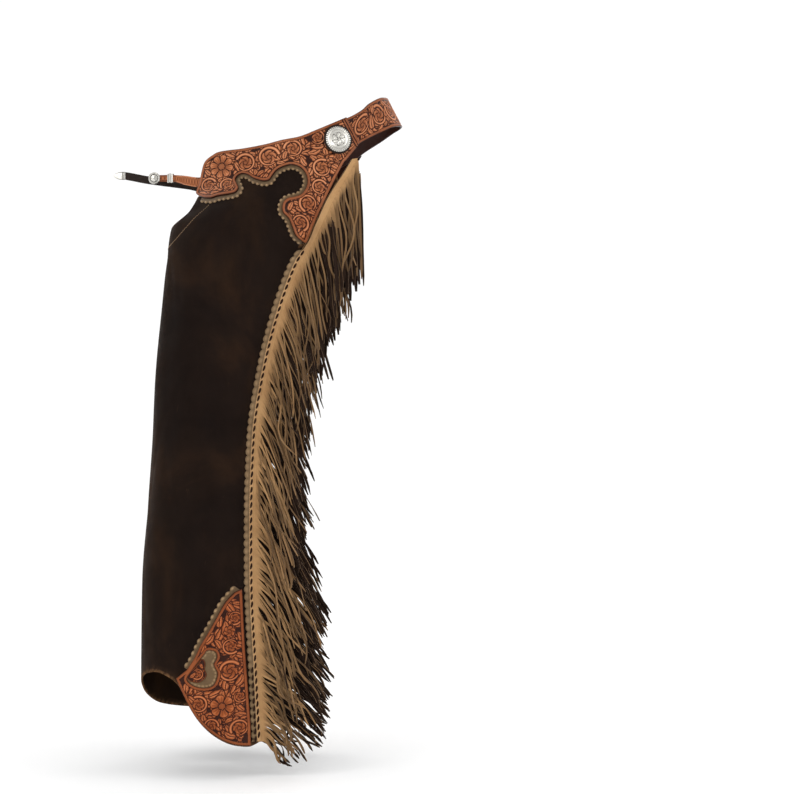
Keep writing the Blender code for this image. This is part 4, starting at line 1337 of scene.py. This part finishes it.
def disc(name, radius, place, axis, shape, look, rings=46, sides=180):
    """A round piece: its face's height and its dark cuts come from a shape of radius (mm) and angle."""
    turned = np.array(Vector(axis).to_track_quat("Z", "Y").to_matrix())
    reach, turn = np.meshgrid(np.linspace(0.015, 1, rings), turn_steps(sides), indexing="ij")
    height, cut, edge = shape(reach * radius / MM, turn)
    away = reach * radius * edge
    face = np.stack([away * np.cos(turn), away * np.sin(turn), height * MM], -1).reshape(-1, 3)
    rim = np.stack([away[-1] * np.cos(turn[-1]), away[-1] * np.sin(turn[-1]), np.zeros(sides)], -1)
    vertices = np.vstack([face, rim, [(0, 0, float(height[0].mean()) * MM), (0, 0, 0)]])
    faces = tube_faces(rings + 1, sides, flip=True, caps=False)
    centre, under, last = len(vertices) - 2, len(vertices) - 1, rings * sides
    for side in range(sides):
        faces.append((centre, side, (side + 1) % sides))
        faces.append((under, last + (side + 1) % sides, last + side))
    piece = new_mesh(name, vertices @ turned.T + np.array(place), faces, look)
    cuts = np.concatenate([np.clip(cut, 0, 1).ravel(), np.full(sides, 0.3), [float(cut[0].mean()), 0.3]])
    paint(piece, "tooling", cuts)
    return piece


def concho_shape(reach, turn):
    """Heights, cuts and edge of the concho: a fluted edge, a rope, leaves and a plain flower."""
    height = np.interp(reach, (0, 6, 14.5, 16.2, 19.0, 20.6, 22.2), (4.0, 3.5, 2.5, 2.1, 2.7, 2.3, 1.1))
    flutes = 0.5 - 0.5 * np.cos(36 * turn)
    height = height - 0.55 * flutes * (reach > 19.6)
    rope = np.sin(60 * turn + 2.4 * reach)
    height += 0.16 * rope * ((reach > 16.9) & (reach < 19.2))
    cut = 0.75 * (flutes > 0.80) * (reach > 19.6) + 0.8 * (np.abs(reach - 16.3) < 0.35)
    cut += 0.55 * (rope < -0.72) * ((reach > 16.9) & (reach < 19.2))
    lobe = np.abs(np.cos(3 * turn + 0.16 * reach))
    petal = 11.8 * (0.42 + 0.58 * lobe**0.7)
    height += 0.35 * (reach < petal) * lobe - 0.15 * (np.abs(reach - petal) < 0.5)
    cut += (np.abs(reach - petal) < 0.55) * (reach > 3.2)
    cut += ((lobe < 0.10) & (reach < 8.0) & (reach > 3.0)) * 0.9
    vein = np.abs(np.sin(9 * turn + 0.5 * reach))
    cut += 0.8 * (vein < 0.14) * ((reach > 4.2) & (reach < petal - 1.6))
    leaf = np.abs(np.sin(3 * turn + 0.16 * reach))
    cut += 0.8 * (np.abs(reach - 13.2 + 1.8 * leaf) < 0.30) * (lobe < 0.55)
    cut += (np.abs(reach - 2.9) < 0.35) + 0.7 * ((np.sin(reach * 3.6) < -0.5) & (reach < 2.6))
    return height, cut, np.where(reach > 20.5, 1 - 0.012 * flutes, 1.0)


def rosette_shape(reach, turn):
    """Heights, cuts and edge of the concho's leather rosette."""
    scallops = np.abs(np.cos(13 * turn))
    height = 1.4 - 0.5 * np.clip((reach - 24.3) / 1.2, 0, 1) ** 2 - 0.3 * (np.abs(reach - 23.6) < 0.25)
    return height, np.zeros_like(reach), np.where(reach > 22, 0.965 + 0.035 * scallops**0.6, 1.0)


def buckle_shape(reach, turn):
    """Heights, cuts and edge of the buckle: a roped rim round a small flower."""
    height = np.interp(reach, (0, 5.8, 6.4, 8.2, 9.6, 10.5), (3.3, 2.7, 1.8, 2.6, 2.2, 1.1))
    rope = np.sin(26 * turn + 1.8 * reach)
    height += 0.22 * rope * ((reach > 6.9) & (reach < 9.8))
    cut = 0.9 * (np.abs(reach - 6.3) < 0.55) + 0.6 * (rope < -0.6) * ((reach > 6.9) & (reach < 9.8))
    lobe = np.abs(np.cos(3 * turn))
    cut += 0.9 * (np.abs(reach - 4.6 * (0.45 + 0.55 * lobe)) < 0.42) + 0.8 * (np.abs(reach - 1.3) < 0.3)
    return height, cut, np.ones_like(reach)


def concho_seat():
    """Where a flat disc stands clear on the yoke, and the way that it faces."""
    centre = np.array(CONCHO_PLACE)
    turns = turn_steps(16)
    around = centre + ROSETTE_RADIUS * np.stack([np.cos(turns), np.sin(turns)], -1)
    points = side_points(np.vstack([around, centre]), np.full(17, PANEL_OUT + YOKE_WALL))
    rim, middle = points[:16], points[16]
    axis = unit(np.cross(rim - middle, np.roll(rim, -4, axis=0) - middle).sum(axis=0))
    height = max(float(((rim - middle) @ axis).max()), 0.0)
    return middle + axis * (height + SEAT_GAP), axis


def smooth_path(rows, stations):
    """Rows of numbers, followed by a smooth curve at even shares."""
    rows = np.array(rows, float)
    lengths = lengths_along(rows[:, :3])
    along = np.linspace(0, lengths[-1], stations)
    curves = [smooth_table(list(zip(lengths, column)), ("along", "value"), "value") for column in rows.T]
    return np.stack([curve(along) for curve in curves], -1), along


def strap(name, rows, hand, wall, look, nodes, carved):
    """A strap with rounded edges, a creased border and stitches, or carving, along it."""
    roots = leg_points(np.array(STRAP_ROOT_ANGLES), np.full(3, STRAP_ROOT_LEVEL), STRAP_ROOT_OUT)
    path = [(x, y * hand, z, STRAP_ROOT_HALF) for x, y, z in roots] + list(rows)
    line, along = smooth_path(path, 170)
    square = np.column_stack([-left_of(line[:, :2]), np.zeros(len(line))])
    square *= np.sign(-square[:, 1:2] - 1e-6)
    faces_across = np.linspace(-1, 1, 15)
    profile = [(u, 1) for u in faces_across] + [(u, -1) for u in faces_across[::-1]]
    vertices, tools = [], []
    for place, way, run in zip(line, square, along / MM):
        half = place[3]
        for u, v in profile:
            near_edge = (1 - abs(u)) * half / MM
            crease = hump(near_edge, 1.5, 0.35)
            stitch = hump(near_edge, 1.5, 0.45) * (math.sin(run * 2.2) > -0.1)
            weave = 0.62 + 0.2 * math.sin(run * 0.9) * math.cos(3.0 * u) * (near_edge > 2.2)
            rounding = 0.9 * max(0.0, 1 - near_edge / 0.8) ** 2
            relief = 0.25 * weave - 0.25 if carved else 0.2 * stitch
            lift = wall / 2 / MM - rounding - 0.35 * crease + relief
            vertices.append(place[:3] + way * v * lift * MM + np.array([0, 0, u * half]))
            border = 0.0 if crease > 0.5 else 0.9
            tools.append((weave if near_edge > 2.2 else border, float(near_edge < 1.1), 0.0, 1.0))
    piece = new_mesh(name, vertices, tube_faces(len(line), len(profile), flip=True), look)
    paint(piece, "tooling", tools)
    return register(piece, nodes)


TIP_START, TIP_LENGTH, TIP_THICK = -0.3139, 0.0205, 0.0036
TIP_OUTLINE = ((0, 1.0), (0.42, 0.96), (0.68, 0.74), (0.88, 0.40), (0.97, 0.16), (1.0, 0.03))
TIP_CURVE = smooth_table(TIP_OUTLINE, ("share", "wide"), "wide")


def strap_tip():
    """The billet's pointed silver end, with two engraved rings and a rounded face."""
    _, y, z, half = BILLET[-1]
    half += 0.4 * MM
    rows, sides = 46, 32
    vertices, cuts = [], []
    for share in np.linspace(0, 1, rows):
        narrowing = float(TIP_CURVE(share))
        deep = TIP_THICK / 2 * min(1.0, 0.55 + 0.45 * narrowing) * (1.0 if share > 0.03 else 0.9)
        band = hump(share, 0.10, 0.03) + hump(share, 0.22, 0.03)
        x = TIP_START - TIP_LENGTH * share
        for turn in turn_steps(sides):
            flat = math.copysign(abs(math.cos(turn)) ** 0.55, math.cos(turn))
            high = math.copysign(abs(math.sin(turn)) ** 0.7, math.sin(turn))
            vertices.append((x, y + deep * flat * (1 - 0.12 * band), z + half * narrowing * high))
            cuts.append(min(band + 0.45 * (abs(high) > 0.86), 1.0))
    piece = new_mesh("strap_end", vertices, tube_faces(rows, sides), SILVER)
    paint(piece, "tooling", cuts)
    return register(piece, ["strap_tip"])


STRAP_WALL = 0.003
KEEPER_HALF = 0.0052
KEEPER_ROUNDNESS = 0.18


def keeper():
    """The silver loop round the left strap, crowned, with a roped middle."""
    behind, ahead = np.array(STRAP[2][:3]), np.array(STRAP[3][:3])
    place = (behind + ahead) / 2
    along = unit(np.array([ahead[0] - behind[0], ahead[1] - behind[1], 0]))
    square = np.array([along[1], -along[0], 0])
    deep, tall = STRAP_WALL / 2 + 0.8 * MM, STRAP[2][3] + 1.1 * MM
    sides, across = 96, 15
    turns = turn_steps(sides)
    flat = np.sign(np.cos(turns)) * np.abs(np.cos(turns)) ** KEEPER_ROUNDNESS
    high = np.sign(np.sin(turns)) * np.abs(np.sin(turns)) ** KEEPER_ROUNDNESS
    vertices, cuts = [], []

    def loop_row(u, grow):
        up = np.stack([np.zeros(sides), np.zeros(sides), high * (tall + grow)], -1)
        vertices.extend(place + along * u * KEEPER_HALF + square * (flat * (deep + grow))[:, None] + up)

    for u in np.linspace(-1, 1, across):
        rope = 0.16 * np.sin(turns * 46) * (abs(u) < 0.34)
        loop_row(u, (1.1 * (1 - 0.55 * abs(u) ** 3) + rope) * MM)
        cuts.extend(0.8 * (abs(abs(u) - 0.42) < 0.06) + 0.5 * (rope < -0.1))
    for u in (1, -1):
        loop_row(u, 0.0)
        cuts.extend([0.2] * sides)
    faces = tube_faces(across + 2, sides, flip=True, caps=False)
    last = (across + 1) * sides
    for k in range(sides):
        faces.append((last + k, k, (k + 1) % sides, last + (k + 1) % sides))
    piece = new_mesh("keeper_loop", vertices, faces, SILVER)
    paint(piece, "tooling", cuts)
    return register(piece, ["strap_keeper"])


yokes = yoke()
corners = corner()
belt_piece = belt()
yoke_trims = edge_trim("yoke_trim", (*YOKE_LOWER, (-171, -79)), 7.5, 6.0, 8.0)
corner_trims = edge_trim("corner_trim", CORNER_TRIM[::-1], 8.5, 6.0, 11.5)
seam_trims = seam_trim()
seam_laces = seam_lace()
fringes = fringe(0, "fringe", TOP_OUT, FRINGE_WALLS[0], (0, 1), 0.45)
under_fringes = fringe(1, "under_fringe", SEAT_GAP, FRINGE_WALLS[1], (1, 1), 0.4)
inlays = window_inlay()
islands = window_island()
seat, facing = concho_seat()
rosette = disc("left_rosette_leather", ROSETTE_RADIUS, seat, facing, rosette_shape, STRAP_DARK)
both_sides(rosette, "rosette")
raised_seat = seat + facing * (ROSETTE_WALL + 0.3 * MM)
concho = disc("left_concho_silver", CONCHO_RADIUS, raised_seat, facing, concho_shape, SILVER)
both_sides(concho, "concho")
buckle = disc("buckle_silver", BUCKLE_RADIUS, BUCKLE_PLACE, (0, -1, 0), buckle_shape, SILVER)
register(buckle, ["buckle"])
carved_strap = strap(
    "front_strap_carved", STRAP, 1, STRAP_WALL, RUSSET, ["left_front_strap"], True
)
billet = strap(
    "front_strap_billet", BILLET, -1, 0.0026, STRAP_DARK, ["right_front_strap"], False
)
strap_tip()
keeper()


def studio():
    """Camera, floor and light."""
    scene = bpy.context.scene
    camera = bpy.data.objects.new("Camera", bpy.data.cameras.new("Camera"))
    camera.data.sensor_width = 36
    camera.data.lens = camera.data.sensor_width * VIEW_DISTANCE / (PHOTO_WIDTH * PIXEL)
    camera.location = CAMERA_PLACE
    camera.rotation_euler = (math.radians(90), 0, 0)
    camera.data.clip_end = 60
    scene.collection.objects.link(camera)
    scene.camera = camera

    sides = 96
    vertices = [(0, 0, FLOOR_Z)]
    for radius, height in FLOOR_RINGS:
        for turn in turn_steps(sides):
            vertices.append((radius * math.cos(turn), radius * math.sin(turn), FLOOR_Z + height))
    faces = [(0, 1 + side, 1 + (side + 1) % sides) for side in range(sides)]
    faces += tube_faces(len(FLOOR_RINGS), sides, 1, flip=True, caps=False)
    look = Look("studio_floor", 0.9, specular=0.1)
    look.colour(look.mix(look.noise(3.0, 2.0), (0.90, 0.90, 0.90, 1), (0.93, 0.93, 0.93, 1)))
    fill(look.shader, Emission_Color=(1, 1, 1, 1), Emission_Strength=0.09)
    new_mesh("studio_floor", vertices, faces, look.material)

    world = bpy.data.worlds.new("Studio")
    world.use_nodes = True
    fill(world.node_tree.nodes["Background"], Color=(1, 1, 1, 1), Strength=0.98)
    scene.world = world
    for name, place, size, power in LAMPS:
        lamp = bpy.data.objects.new(name, bpy.data.lights.new(name, "AREA"))
        lamp.data.size = size
        lamp.data.energy = power
        lamp.location = place
        lamp.rotation_euler = (LAMP_AIM - lamp.location).to_track_quat("-Z", "Y").to_euler()
        scene.collection.objects.link(lamp)
    scene.view_settings.view_transform = "Standard"


studio()

bpy.context.view_layer.update()
